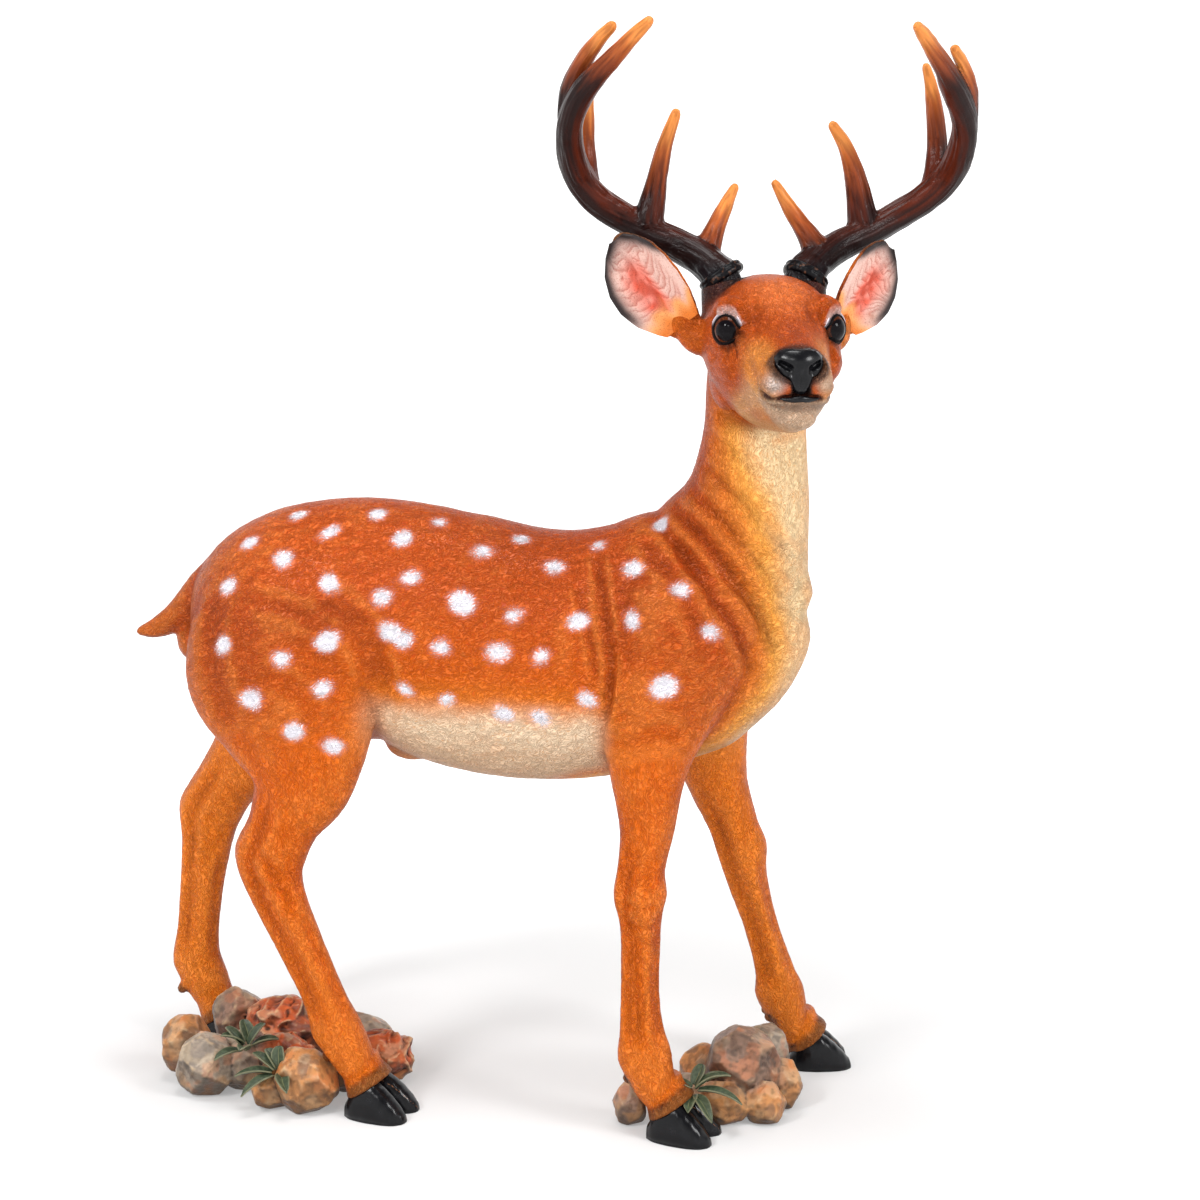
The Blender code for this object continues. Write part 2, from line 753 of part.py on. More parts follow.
def main():
    for obj in list(bpy.data.objects):
        bpy.data.objects.remove(obj)
    coat = material("coat", (0.62, 0.20, 0.05), 0.5)
    horn = material("antler", (0.13, 0.05, 0.03), 0.4)
    stone = material("stone", (0.32, 0.22, 0.17), 0.7)
    glass = material("eye", (0.02, 0.01, 0.01), 0.05)
    frame = head_frame()
    deer = deer_casting(coat)
    made = [deer]
    for side in (-1, 1):
        combine(deer, seat_cutter(side, frame), "DIFFERENCE")
        combine(deer, socket_cutter(side, frame), "DIFFERENCE")
        made.append(eye(side, frame, glass))
        made.append(antler(side, frame, horn))
    keep_largest(deer)
    made.append(rock_base("rear_rock_base", REAR_BOULDERS, REAR_TUFTS, stone, deer))
    made.append(rock_base("front_rock_base", FRONT_BOULDERS, FRONT_TUFTS, stone, deer))
    stand_on_middle(made)


main()
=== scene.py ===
"""Deer garden statue: the painted finish of a spotted stag cast in resin, standing on two rock bases.

Figure coordinates: +X is the way the deer stands, +Y its left, +Z up, with the soles at Z = 0, in
millimetres of a figure 1020 mm tall. Head coordinates are forward, left and up from between the eyes.
The piece's own frame is the figure moved sideways so that its outline is centred, in metres.
"""

import math

import bmesh
import bpy
import numpy as np
from bpy.props import FloatProperty, FloatVectorProperty, IntProperty, PointerProperty
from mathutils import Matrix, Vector


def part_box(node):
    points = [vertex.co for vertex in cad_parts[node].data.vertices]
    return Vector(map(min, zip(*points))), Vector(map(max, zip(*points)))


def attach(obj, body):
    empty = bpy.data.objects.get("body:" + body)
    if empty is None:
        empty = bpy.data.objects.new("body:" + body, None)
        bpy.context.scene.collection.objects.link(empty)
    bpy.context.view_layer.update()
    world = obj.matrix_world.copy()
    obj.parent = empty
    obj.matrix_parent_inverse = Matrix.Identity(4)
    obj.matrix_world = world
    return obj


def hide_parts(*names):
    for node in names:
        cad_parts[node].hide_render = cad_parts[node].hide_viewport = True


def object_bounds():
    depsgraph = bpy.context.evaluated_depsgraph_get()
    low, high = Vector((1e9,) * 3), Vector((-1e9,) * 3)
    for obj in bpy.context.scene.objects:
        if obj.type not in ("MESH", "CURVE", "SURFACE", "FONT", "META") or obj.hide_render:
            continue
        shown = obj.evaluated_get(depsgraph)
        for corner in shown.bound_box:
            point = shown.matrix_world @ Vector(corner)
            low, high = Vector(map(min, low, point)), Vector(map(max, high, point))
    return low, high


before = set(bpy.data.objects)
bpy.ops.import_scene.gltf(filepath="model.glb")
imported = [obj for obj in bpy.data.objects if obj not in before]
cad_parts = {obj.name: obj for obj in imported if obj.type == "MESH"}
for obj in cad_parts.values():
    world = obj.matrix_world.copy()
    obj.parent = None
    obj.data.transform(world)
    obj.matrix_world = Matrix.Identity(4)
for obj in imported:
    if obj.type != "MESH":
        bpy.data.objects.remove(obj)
CAD_BOX = [list(corner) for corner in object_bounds()]

bl_info = {
    "name": "Spotted Stag Statue",
    "version": (1, 0, 0),
    "blender": (4, 5, 0),
    "location": "View3D > Sidebar > Stag",
    "description": "Builds the painted finish of a resin deer garden statue",
    "category": "Object",
}

MM = 0.001
UP = np.array((0.0, 0.0, 1.0))


def tone(red, green, blue):
    """An sRGB colour of 0 to 255 as linear light, which is what Blender's colours hold."""
    part = np.array((red, green, blue)) / 255
    linear = np.where(part <= 0.04045, part / 12.92, ((part + 0.055) / 1.055) ** 2.4)
    return tuple(float(value) for value in linear)


# Grids that the pieces are melted on, in millimetres, fine and quick, and the most triangles in each
ANTLER_VOXEL, ANTLER_TRIANGLES = (1.25, 1.9), 90000
ROCK_VOXEL, ROCK_TRIANGLES = (1.3, 2.4), 120000

# Stations of the figure: x, y, z, half front to back, half side to side
TORSO = (
    (-399, 0, 448, 26, 24), (-386, 0, 450, 66, 50), (-352, 0, 455, 98, 78), (-300, 0, 463, 116, 92),
    (-240, 0, 473, 118, 92), (-190, 0, 472, 117, 88), (-140, 0, 458, 123, 91), (-80, 0, 447, 122, 94),
    (-20, 0, 447, 119, 91), (40, 0, 459, 117, 86), (88, 0, 477, 116, 80), (121, 0, 490, 99, 68),
    (147, 0, 506, 75, 50), (165, 0, 524, 42, 30),
)
NECK = (
    (100, 0, 490, 80, 60), (121, 0, 548, 79, 58), (139, -3, 600, 59, 52), (146, -10, 655, 48, 47),
    (149, -22, 700, 46, 45), (153, -36, 740, 46, 46),
)
TAIL = (
    (-360, 0, 514, 32, 26), (-391, 0, 493, 25, 19), (-420, 0, 471, 16, 15), (-443, 0, 458, 11, 11),
    (-461, 0, 453, 6, 7),
)
NEAR_FORE_LEG = (
    (88, -46, 505, 72, 40), (74, -58, 445, 64, 40), (62, -64, 392, 49, 35), (58, -68, 350, 36, 28),
    (58, -70, 300, 26, 22), (52, -71, 256, 22, 20), (51, -72, 236, 24, 22), (53, -72, 205, 19, 18),
    (53, -72, 150, 18, 15), (54, -72, 112, 20, 16), (57, -72, 80, 25, 20), (65, -72, 54, 21, 20),
    (73, -72, 36, 16, 16),
)
FAR_FORE_LEG = (
    (88, 46, 505, 72, 40), (86, 60, 435, 60, 38), (90, 72, 372, 45, 33), (101, 84, 310, 31, 26),
    (116, 92, 265, 25, 22), (124, 96, 236, 24, 22), (132, 100, 200, 20, 19), (145, 106, 155, 17, 15),
    (157, 112, 112, 19, 16), (163, 118, 82, 24, 20), (171, 124, 56, 20, 20), (178, 128, 36, 16, 16),
)
NEAR_HIND_LEG = (
    (-305, -42, 485, 88, 44), (-295, -56, 430, 98, 44), (-280, -64, 372, 76, 38),
    (-278, -68, 325, 52, 31), (-294, -70, 287, 35, 25), (-308, -71, 250, 34, 22),
    (-301, -72, 215, 27, 19), (-280, -73, 168, 23, 17), (-258, -74, 120, 21, 16),
    (-245, -74, 86, 24, 20), (-230, -74, 58, 21, 20), (-221, -74, 38, 16, 16),
)
FAR_HIND_LEG = (
    (-318, 42, 485, 86, 44), (-322, 56, 430, 92, 44), (-340, 68, 372, 72, 38), (-372, 78, 322, 48, 31),
    (-405, 84, 285, 34, 25), (-427, 87, 250, 33, 22), (-434, 89, 215, 27, 19), (-441, 90, 168, 23, 17),
    (-447, 91, 120, 22, 16), (-450, 92, 86, 25, 20), (-439, 92, 58, 23, 21), (-430, 92, 38, 18, 17),
)
LEGS = (NEAR_FORE_LEG, FAR_FORE_LEG, NEAR_HIND_LEG, FAR_HIND_LEG)

# Hooves: middle of the sole x, y, and the way the toes point, in degrees from +X
HOOVES = ((92, -68, -10), (198, 140, 16), (-204, -71, -8), (-414, 92, 0))
CLAW_HALF_GAP = 13.2
CLAW_SPLAY = 4
# One claw, heel to toe: forward, half width, height
CLAW = ((-27, 8, 12), (-18, 13, 25), (-4, 15, 35), (6, 15, 36), (18, 14, 27), (28, 11, 16), (34, 6, 8))
DEWCLAW = (-50, 11, 62)
# The furred cuff over the claws: forward, height, half length, half width, slope in degrees
CUFF = ((-21, 58, 19, 19, 4), (-18, 46, 20, 21.5, 12), (-13, 36, 22.5, 24.5, 26), (-9.5, 27, 25, 27.5, 34))

EYES_MIDDLE = np.array((176.0, -100.0, 763.0))
HEAD_TURN = 19
HEAD_SECTIONS = (
    (-94, 24, 8, -24), (-84, 44, 31, -48), (-56, 57, 44, -76), (-20, 60, 45, -86), (6, 55, 38, -88),
    (28, 44, 25, -87), (51, 38, 11, -85), (74, 33, 0, -83), (93, 31, -7, -78), (106, 28, -11, -66),
    (115, 20, -17, -50),
)
MUZZLE_SWAY = -0.04
HEAD_SWELLINGS = (
    (-4, 42, 14, 28, 14, 15), (2, 43, -27, 32, 12, 20), (-36, 36, -46, 32, 16, 28),
    (95, 15, -44, 18, 14, 16), (96, 0, -67, 16, 17, 12), (106, 0, -20, 11, 20, 11),
)
EYE_PLACE = (10, 43, 0)
EYE_RADIUS = 14.6
GAZE = (0.84, 0.54, -0.02)
# The way the lids open: forward, outward, up; and how wide, in degrees from it
LID_WAY = (0.72, 0.69, 0.05)
LID_OPENING = {-1: 51, 1: 47}

EAR_ROOT = (-50, 62, -10)
EAR_TIPS = {-1: (-64, 132, 80), 1: (-64, 113, 73)}
EAR_OPENING = (0.77, 0.64, 0)
EAR_ROOT_TONES = {-1: tone(196, 92, 22), 1: tone(224, 132, 56)}
EAR_HALF_WIDTH = 37
EAR_BOW = 7
EAR_THICKNESS = 7.5
# The ear's half width at places along it, from root to tip
EAR_OUTLINE = (
    (0, 0.42), (0.12, 0.66), (0.28, 0.9), (0.45, 1), (0.62, 0.97), (0.78, 0.8), (0.9, 0.52), (1, 0.14),
)

# Antlers in head coordinates: outward, forward, up, radius; the beam first, then its tines
BURR_PLACE = (-58, 36, 39)
BURR_WAY = (-0.25, 0.52, 0.82)
ANTLERS = {
    -1: (
        (
            (36, -56, 30, 18), (40, -60, 42, 17), (51, -72, 56, 16), (71, -88, 69, 15),
            (96, -98, 81, 14), (121, -104, 95, 13.5), (146, -100, 112, 13.5), (164, -88, 135, 13.5),
            (173, -65, 160, 12.5), (174, -45, 179, 11.5), (168, -25, 198, 11), (157, -5, 214, 9.5),
            (142, 12, 231, 8), (130, 28, 245, 6.5), (120, 38, 255, 5),
        ),
        ((48, -80, 64, 13), (40, -82, 84, 9), (33, -84, 98, 7.5), (22, -84, 121, 4.5)),
        ((98, -98, 90, 14), (91, -98, 124, 9.5), (84, -92, 158, 7), (75, -88, 185, 5)),
        (
            (172, -76, 148, 10), (175, -52, 196, 9), (166, -28, 225, 8), (155, -8, 243, 6.5),
            (146, 6, 253, 5),
        ),
        ((152, -98, 118, 11), (153, -108, 155, 8.5), (153, -104, 184, 7.5), (152, -98, 207, 5)),
    ),
    1: (
        (
            (34, -56, 30, 18), (36, -60, 42, 17), (51, -72, 55, 16), (75, -88, 68, 15),
            (105, -98, 81, 14), (134, -104, 96, 13.5), (159, -100, 112, 13.5), (176, -88, 132, 13.5),
            (180, -65, 155, 12.5), (176, -45, 178, 11.5), (163, -25, 198, 11), (146, -5, 218, 9.5),
            (131, 12, 233, 8), (117, 28, 246, 6.5), (108, 38, 253, 5),
        ),
        ((52, -78, 66, 13), (40, -82, 86, 9), (30, -84, 100, 7.5), (15, -84, 124, 4.5)),
        ((99, -98, 90, 14), (91, -98, 132, 9.5), (80, -92, 158, 7), (68, -88, 175, 5)),
        (
            (178, -76, 148, 10), (182, -50, 189, 8), (173, -28, 211, 7), (162, -12, 227, 6),
            (152, 0, 237, 5),
        ),
        (
            (164, -98, 118, 11), (170, -108, 156, 9), (166, -104, 188, 8), (160, -98, 211, 6),
            (154, -94, 227, 4.5),
        ),
    ),
}

# Boulders: x, y, z, three half sizes, and the tone of the stone
REAR_BOULDERS = (
    (-386, -56, 29, 32, 30, 35, "grey"), (-420, -20, 34, 27, 30, 33, "brown"),
    (-352, -34, 28, 32, 30, 32, "grey"), (-276, -76, 29, 35, 30, 36, "brown"),
    (-312, -74, 20, 24, 22, 26, "brown"), (-318, -26, 26, 40, 32, 34, "clay"),
    (-334, 26, 38, 50, 36, 38, "clay"), (-388, 44, 38, 32, 28, 36, "purple"),
    (-300, 44, 36, 42, 36, 34, "purple"), (-222, 6, 26, 34, 30, 30, "clay"),
    (-258, 52, 26, 34, 32, 27, "grey"), (-252, -14, 20, 34, 32, 26, "purple"),
)
FRONT_BOULDERS = (
    (140, 6, 40, 40, 36, 47, "purple"), (166, -20, 17, 22, 20, 24, "brown"),
    (178, 20, 22, 22, 22, 27, "brown"), (126, -28, 18, 28, 20, 24, "brown"),
    (38, -46, 18, 18, 18, 25, "purple"), (152, 64, 34, 30, 36, 37, "grey"),
    (84, -24, 20, 38, 22, 26, "grey"), (104, 30, 24, 34, 30, 30, "brown"),
)
# Planes that chip a boulder: how many, first bearing, turn per boulder, depth, its swing, beat and shift
BOULDER_PLANES = ((13, 0, 1.7, 0.83, 0.07, 2.3, 1), (22, 0.9, 2.3, 0.885, 0.05, 3.1, 2))
# Leaves: foot x, y, z, bearing and lift in degrees, length
REAR_LEAVES = (
    (-344, -62, 56, 205, 44, 32), (-346, -64, 54, 172, 60, 34), (-340, -68, 52, -80, 40, 28),
    (-346, -66, 50, 232, 14, 30), (-338, -64, 56, 40, 62, 36), (-336, -62, 54, 8, 34, 32),
    (-340, -60, 58, 120, 70, 32), (-300, -86, 42, 92, 76, 34), (-304, -88, 42, 168, 44, 36),
    (-306, -90, 40, 192, 12, 38), (-304, -92, 38, 222, -6, 34), (-296, -92, 40, -64, 2, 28),
    (-302, -86, 44, 140, 58, 30), (-294, -88, 42, 10, 18, 26),
)
FRONT_LEAVES = (
    (104, -58, 46, 20, 30, 40), (106, -60, 42, -6, 8, 44), (100, -60, 44, 176, 26, 26),
    (104, -64, 38, -48, -4, 34), (102, -62, 38, -92, 4, 26), (102, -56, 46, 62, 56, 30),
    (104, -60, 44, 4, 46, 34),
)

# White spots on the deer's right side, as places on the skin and a radius
SPOTS = (
    (-285, -31, 579, 9), (-245, -56, 566, 9), (-205, -33, 582, 9), (-146, -31, 575, 9),
    (-328, -51, 552, 9), (-286, -71, 542, 10.5), (-174, -54, 562, 10), (-98, -51, 554, 10),
    (-70, -30, 562, 7), (-343, -71, 513, 8), (-240, -83, 522, 9.5), (-163, -75, 528, 9),
    (-189, -83, 509, 9), (-110, -82, 509, 13), (-64, -84, 500, 8.5), (-30, -55, 541, 8.5),
    (5, -38, 559, 7.5), (63, -32, 578, 7.5), (40, -61, 542, 9.5), (89, -77, 527, 9), (-4, -82, 496, 9),
    (48, -83, 498, 8.5), (116, -84, 491, 9.5), (77, -98, 440, 12), (-344, -87, 462, 10),
    (-242, -92, 470, 12), (-283, -96, 451, 9.5), (-180, -87, 476, 11), (-166, -88, 472, 10),
    (-131, -91, 465, 7.5), (-81, -93, 465, 12), (-37, -91, 461, 8.5), (5, -87, 423, 9),
    (-312, -100, 414, 10.5), (-244, -95, 421, 9.5), (-169, -84, 424, 9.5), (-124, -88, 416, 7),
    (-73, -88, 406, 8), (-42, -86, 404, 9), (-271, -101, 385, 9), (-234, -92, 367, 9.5),
)

# Creases pressed into the skin of the deer's right side: the line, its width and depth
SIDE_CREASES = (
    (
        ((5, -41, 556), (13, -65, 531), (21, -81, 497), (27, -88, 461), (26, -86, 423), (18, -77, 385)),
        4.6, 3,
    ),
    (((-9, -68, 528), (3, -84, 492), (10, -87, 466), (14, -86, 438)), 3.6, 1.8),
    (((45, -40, 569), (73, -65, 542), (99, -85, 509), (113, -87, 474)), 7, 2.4),
    (((-350, -70, 510), (-357, -76, 482), (-356, -84, 455), (-348, -92, 418), (-332, -94, 381)), 10, 1.9),
    (((-332, -94, 381), (-313, -95, 353), (-300, -92, 330)), 9, 1.0),
    (((-257, -88, 507), (-234, -86, 498), (-217, -87, 484), (-203, -86, 456), (-196, -79, 422)), 11, 2.6),
    (((-224, -87, 498), (-204, -88, 488), (-191, -88, 462), (-186, -81, 423), (-199, -63, 389)), 7, 1.6),
    (((-318, -83, 504), (-266, -91, 493), (-228, -90, 470)), 7, 2),
    (((38, -88, 232), (54, -93, 228), (72, -86, 230)), 3.5, 1.4),
    (((40, -86, 212), (56, -91, 208), (72, -84, 210)), 3.5, 1.2),
    (((52, -92, 196), (54, -90, 160), (54, -88, 120), (58, -92, 90)), 4, 2.0),
    (((-318, -92, 268), (-300, -93, 244), (-286, -91, 214), (-268, -92, 176)), 5, 1.8),
    (((-326, -88, 232), (-306, -92, 226), (-288, -92, 228)), 4, 1.2),
    (((5, -76, 387), (37, -93, 383), (74, -98, 396), (96, -89, 390)), 8, 1.5),
    (((-300, -92, 440), (-270, -96, 420), (-250, -96, 395)), 8, 1.4),
)
# Painted shade over the shoulder, flank, haunch and rump, laid under the spots, right side: centre, three
# half sizes, share
PAINTED_SHADE_PATCHES = (
    ((46, -80, 500), (34, 40, 62), 0.45), ((-330, -80, 450), (34, 40, 60), 0.4),
    ((-262, -90, 492), (40, 40, 22), 0.4), ((120, -60, 470), (30, 40, 50), 0.3),
    ((-380, -30, 500), (34, 60, 60), 0.3), ((-60, -80, 500), (70, 40, 40), 0.15),
    ((-372, -60, 470), (36, 60, 80), 0.4), ((-300, -92, 430), (56, 40, 56), 0.3),
    ((96, -84, 440), (40, 40, 50), 0.3),
)
NECK_CREASES = (
    (((72, -23, 596), (103, -52, 573), (136, -56, 533), (162, -47, 491), (174, -39, 457)), 6, 4),
    (((56, -23, 581), (89, -53, 554), (120, -74, 517), (143, -70, 481), (152, -52, 440)), 6.5, 4),
    (((88, -19, 619), (123, -53, 587), (153, -48, 551), (179, -32, 512)), 5.5, 3.4),
    (((98, -24, 643), (130, -53, 615), (162, -49, 579), (187, -27, 548)), 5, 2.6),
    (((104, -20, 672), (130, -50, 650), (160, -52, 622)), 5, 1.6),
)
# Soft forms under the skin, right side: centre, three half sizes, height
SIDE_FORMS = (
    ((62, -86, 505), (34, 30, 46), 3.5), ((52, -92, 430), (34, 26, 34), 4.5),
    ((-18, -88, 480), (18, 30, 60), 1.8), ((140, -60, 462), (26, 30, 36), 3),
    ((-290, -92, 470), (44, 30, 44), 4), ((-282, -94, 395), (44, 30, 36), 3.5),
    ((-216, -86, 440), (16, 24, 34), 3), ((-372, -62, 450), (16, 26, 44), 2.5),
    ((-150, -88, 480), (34, 24, 40), 1.6),
)

THROAT_LINE = (
    (150, -128, 690), (176, -72, 668), (194, -36, 624), (198, -20, 588), (201, -10, 548),
    (202, -2, 505), (192, 0, 462), (170, 0, 420), (130, 0, 372), (60, 0, 340), (0, 0, 330),
)
MOUTH_LINE = (
    (86, 31, -45), (95, 28, -47.5), (103, 23, -49.5), (111, 13, -50), (115, 5, -49), (116, 0, -48.5),
)
NOSE_MIDDLE = (115, -4.6, -24)
NOSTRIL_TILT = 0.5
# Outline of the nose pad's left half: outward and up from the pad's middle
NOSE_OUTLINE = (
    (0, 14), (9, 14.2), (16, 12), (20.5, 6), (21, -1), (17, -7), (11, -10.5), (8.5, -15), (6, -20),
    (2.5, -23),
)


def colour_setting(name, description, red, green, blue):
    """A colour to set, whose default is an sRGB colour of 0 to 255."""
    return FloatVectorProperty(
        name=name, description=description, subtype="COLOR", size=3, default=tone(red, green, blue)
    )


def length_setting(name, description, default, least):
    """A length to set, in metres."""
    return FloatProperty(name=name, description=description, default=default, min=least, unit="LENGTH")


class StagCoatSettings(bpy.types.PropertyGroup):
    """The painted skin of the deer"""

    back: colour_setting("Back", "Russet of the back", 190, 80, 24)
    flank: colour_setting("Flank", "Orange of the sides", 204, 90, 10)
    leg: colour_setting("Legs", "Orange of the legs", 212, 96, 6)
    cream: colour_setting("Belly and throat", "Pale underside", 242, 216, 184)
    spot: colour_setting("Spots", "White of the spots", 230, 226, 234)
    # painted shade: this colour is laid into the creases, the hollows and the faces that turn down
    crease: colour_setting("Creases", "Dark wash in the folds", 120, 46, 8)
    spot_size: FloatProperty(
        name="Spot size", description="Share of the radius", default=0.69, min=0.2, max=2, subtype="FACTOR"
    )
    fur_depth: length_setting("Fur relief", "Height of the hair strokes", 0.0013, 0.0)
    voxel: length_setting("Skin fineness", "Grid that the skin is melted on", 0.0017, 0.001)
    triangles: IntProperty(
        name="Triangles", description="Most triangles in the skin", default=190000, min=20000, max=199000
    )


class StagHornSettings(bpy.types.PropertyGroup):
    """The antlers and the black parts"""

    base: colour_setting("Antler base", "Near-black at the skull", 20, 11, 12)
    beam: colour_setting("Antler beam", "Red-brown of the beam", 76, 28, 14)
    tip: colour_setting("Antler tips", "Tan of the tips", 206, 128, 64)
    black: colour_setting("Hooves and nose", "Glossy black", 10, 10, 13)
    iris: colour_setting("Iris", "Brown ring of the eye", 120, 62, 36)
    groove_depth: length_setting("Antler grooves", "Depth of the lengthwise grooves", 0.0009, 0.0)


class StagBaseSettings(bpy.types.PropertyGroup):
    """The rocks and the leaves"""

    grey: colour_setting("Grey stone", "Grey rock", 176, 160, 142)
    brown: colour_setting("Brown stone", "Brown rock", 200, 138, 84)
    purple: colour_setting("Purple stone", "Purple-grey rock", 158, 126, 106)
    clay: colour_setting("Terracotta stone", "Red rock", 206, 98, 54)
    leaf: colour_setting("Leaves", "Green of the leaves", 74, 88, 64)
    leaf_width: length_setting("Leaf width", "Widest part of a leaf", 0.0135, 0.002)


def unit(ways):
    """Ways made one long."""
    return ways / np.linalg.norm(ways, axis=-1, keepdims=True)


def ease(value, low, high):
    """0 below low, 1 above high, and 3t² − 2t³ between them; low may be the larger one."""
    share = np.clip((value - low) / (high - low), 0, 1)
    return share * share * (3 - 2 * share)


def smooth_line(stations, steps):
    """A cubic between each two stations, whose slope at each is that of the line between its neighbours."""
    points = np.array(stations, float)
    padded = np.vstack([2 * points[0] - points[1], points, 2 * points[-1] - points[-2]])
    before, start, end, after = (padded[k : k + len(points) - 1, None] for k in range(4))
    t = np.linspace(0, 1, steps, endpoint=False)[None, :, None]
    spans = 0.5 * (
        2 * start
        + (end - before) * t
        + (2 * before - 5 * start + 4 * end - after) * t**2
        + (3 * start - before - 3 * end + after) * t**3
    )
    return np.vstack([spans.reshape(-1, points.shape[1]), points[-1:]])


def domed(rows):
    """Rounds each end with sections whose centre moves by r sin a and whose size goes as cos a."""

    def dome(end, inner):
        way = unit(end[:3] - inner[:3])
        turns = np.radians((35, 60, 80))[:, None]
        return np.hstack([end[:3] + way * min(end[3:5]) * np.sin(turns), end[3:5] * np.cos(turns)])

    return np.vstack([dome(rows[0], rows[1])[::-1], rows, dome(rows[-1], rows[-2])])


def limb(stations, sides=32, steps=6, side_way=(0, 1, 0)):
    """Oval sections along a line: centre + side · w cos a + front · d sin a, each square to the line."""
    rows = domed(smooth_line(stations, steps))
    along = unit(np.gradient(rows[:, :3], axis=0))
    side = np.array(side_way, float)
    side = unit(side - along * (along @ side)[:, None])
    front = np.cross(along, side)
    turn = np.linspace(0, 2 * np.pi, sides, endpoint=False)[None, :, None]
    across = side[:, None] * rows[:, 4, None, None] * np.cos(turn)
    deep = front[:, None] * rows[:, 3, None, None] * np.sin(turn)
    return rows[:, None, :3] + across + deep


def blob(centre, halves, rings=18, sides=28):
    """An ellipsoid: centre + halves · (sin b cos a, sin b sin a, cos b)."""
    b = np.linspace(0.06, np.pi - 0.06, rings)[:, None, None]
    a = np.linspace(0, 2 * np.pi, sides, endpoint=False)[None, :, None]
    ball = np.concatenate([np.sin(b) * np.cos(a), np.sin(b) * np.sin(a), np.cos(b) + 0 * a], axis=2)
    return np.array(centre, float) + ball * np.array(halves, float)


def skin(rings):
    """Faces over a grid of closed rings, with a point at each end that closes it."""
    count, sides, _ = rings.shape
    points = np.vstack([rings.reshape(-1, 3), rings[0].mean(axis=0), rings[-1].mean(axis=0)])
    row = np.arange(count - 1)[:, None] * sides
    column = np.arange(sides)[None]
    following = (column + 1) % sides
    above = row + sides
    quads = np.stack([row + column, row + following, above + following, above + column], axis=-1)
    first, last = column[0], following[0]
    pole, far = count * sides, (count - 1) * sides
    ends = np.vstack(
        [
            np.stack([np.full(sides, pole), last, first], axis=1),
            np.stack([np.full(sides, pole + 1), far + first, far + last], axis=1),
        ]
    )
    return points, quads.reshape(-1, 4), ends


def sheet(points):
    """Faces over an open grid of points."""
    rows, columns, _ = points.shape
    corner = (np.arange(rows - 1)[:, None] * columns + np.arange(columns - 1)[None]).reshape(-1)
    quads = np.stack([corner, corner + 1, corner + columns + 1, corner + columns], axis=1)
    return points.reshape(-1, 3), quads, np.empty((0, 3), int)


def joined(forms):
    """Several forms as one."""
    starts = np.cumsum([0] + [len(form[0]) for form in forms[:-1]])
    return tuple(
        np.vstack([form[k] + (start if k else 0) for form, start in zip(forms, starts)]) for k in range(3)
    )


def lattice_noise(points, seed=0):
    """Smooth noise from -1 to 1: chance values at whole-number places, blended by 3t² − 2t³."""
    base = np.floor(points).astype(np.int64)
    part = points - base
    part = part * part * (3 - 2 * part)
    total = np.zeros(len(points))
    for corner in np.ndindex(2, 2, 2):
        node = base + np.array(corner)
        mixed = node[:, 0] * 73856093 ^ node[:, 1] * 19349663 ^ node[:, 2] * 83492791 ^ (seed + 1) * 40503
        mixed = (mixed ^ (mixed >> 13)) * 1274126177 & 0xFFFFFFFF
        value = ((mixed ^ (mixed >> 15)) & 0xFFFF) / 32767.5 - 1
        total += value * np.prod(np.where(corner, part, 1 - part), axis=1)
    return total


def stretched(points, way, width, length):
    """Coordinates in which noise makes strokes `width` wide and `length` long, running along `way`."""
    along = unit(np.array(way, float))
    side = unit(np.cross(along, (0.31, 0.52, 0.79)))
    axes = np.stack([along / length, side / width, np.cross(along, side) / width], axis=1)
    return points @ axes


def from_line(points, line, reach):
    """How far each point is from a line, and its place along it from 0 to 1; far points get infinity."""
    away, place = np.full(len(points), np.inf), np.zeros(len(points))
    low, high = line.min(axis=0) - reach, line.max(axis=0) + reach
    near = np.flatnonzero(((points > low) & (points < high)).all(axis=1))
    part = points[near]
    best, run = np.full(len(near), np.inf), np.zeros(len(near))
    for k, (start, span) in enumerate(zip(line[:-1], np.diff(line, axis=0))):
        share = np.clip((part - start) @ span / (span @ span), 0, 1)
        distance = np.linalg.norm(part - start - share[:, None] * span, axis=1)
        closer = distance < best
        best[closer], run[closer] = distance[closer], k + share[closer]
    away[near], place[near] = best, run / (len(line) - 1)
    return away, place


def head_axes():
    """Columns are the head's forward, left and up ways in figure coordinates."""
    bearing = math.radians(HEAD_TURN)
    forward = np.array((math.sin(bearing), -math.cos(bearing), 0))
    return np.stack([forward, np.cross(UP, forward), UP], axis=1)


HEAD = head_axes()


def from_head(points):
    """Head coordinates as figure coordinates."""
    return np.asarray(points, float) @ HEAD.T + EYES_MIDDLE


def to_head(points):
    """Figure coordinates as head coordinates."""
    return (points - EYES_MIDDLE) @ HEAD


def on_side(place, side):
    """A place given as forward, outward and up, on the head's left (1) or right (-1)."""
    forward, outward, up = place
    return np.array((forward, side * outward, up), float)


def row_shift():
    """What moves the figure to the piece's own frame: the right eye's place there less its place here."""
    low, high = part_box("right_eye")
    place = from_head(on_side(EYE_PLACE, -1)) * MM
    return (np.array(low) + np.array(high)) / 2 - place


SHIFT = row_shift()


def read(mesh, name):
    """The places or the normals of a mesh's points."""
    values = np.empty(len(mesh.vertices) * 3, np.float32)
    mesh.vertices.foreach_get(name, values)
    return values.reshape(-1, 3).astype(float)


def write_points(mesh, points):
    """Moves the mesh's points."""
    mesh.vertices.foreach_set("co", points.astype(np.float32).ravel())
    mesh.update()


def write_field(mesh, name, values):
    """A number, or a colour, at each point of the mesh, for the material to read."""
    if values.ndim == 2:
        layer = mesh.attributes.new(name, "FLOAT_COLOR", "POINT")
        full = np.hstack([values, np.ones((len(values), 1))])
        layer.data.foreach_set("color", full.astype(np.float32).ravel())
    else:
        layer = mesh.attributes.new(name, "FLOAT", "POINT")
        layer.data.foreach_set("value", values.astype(np.float32))


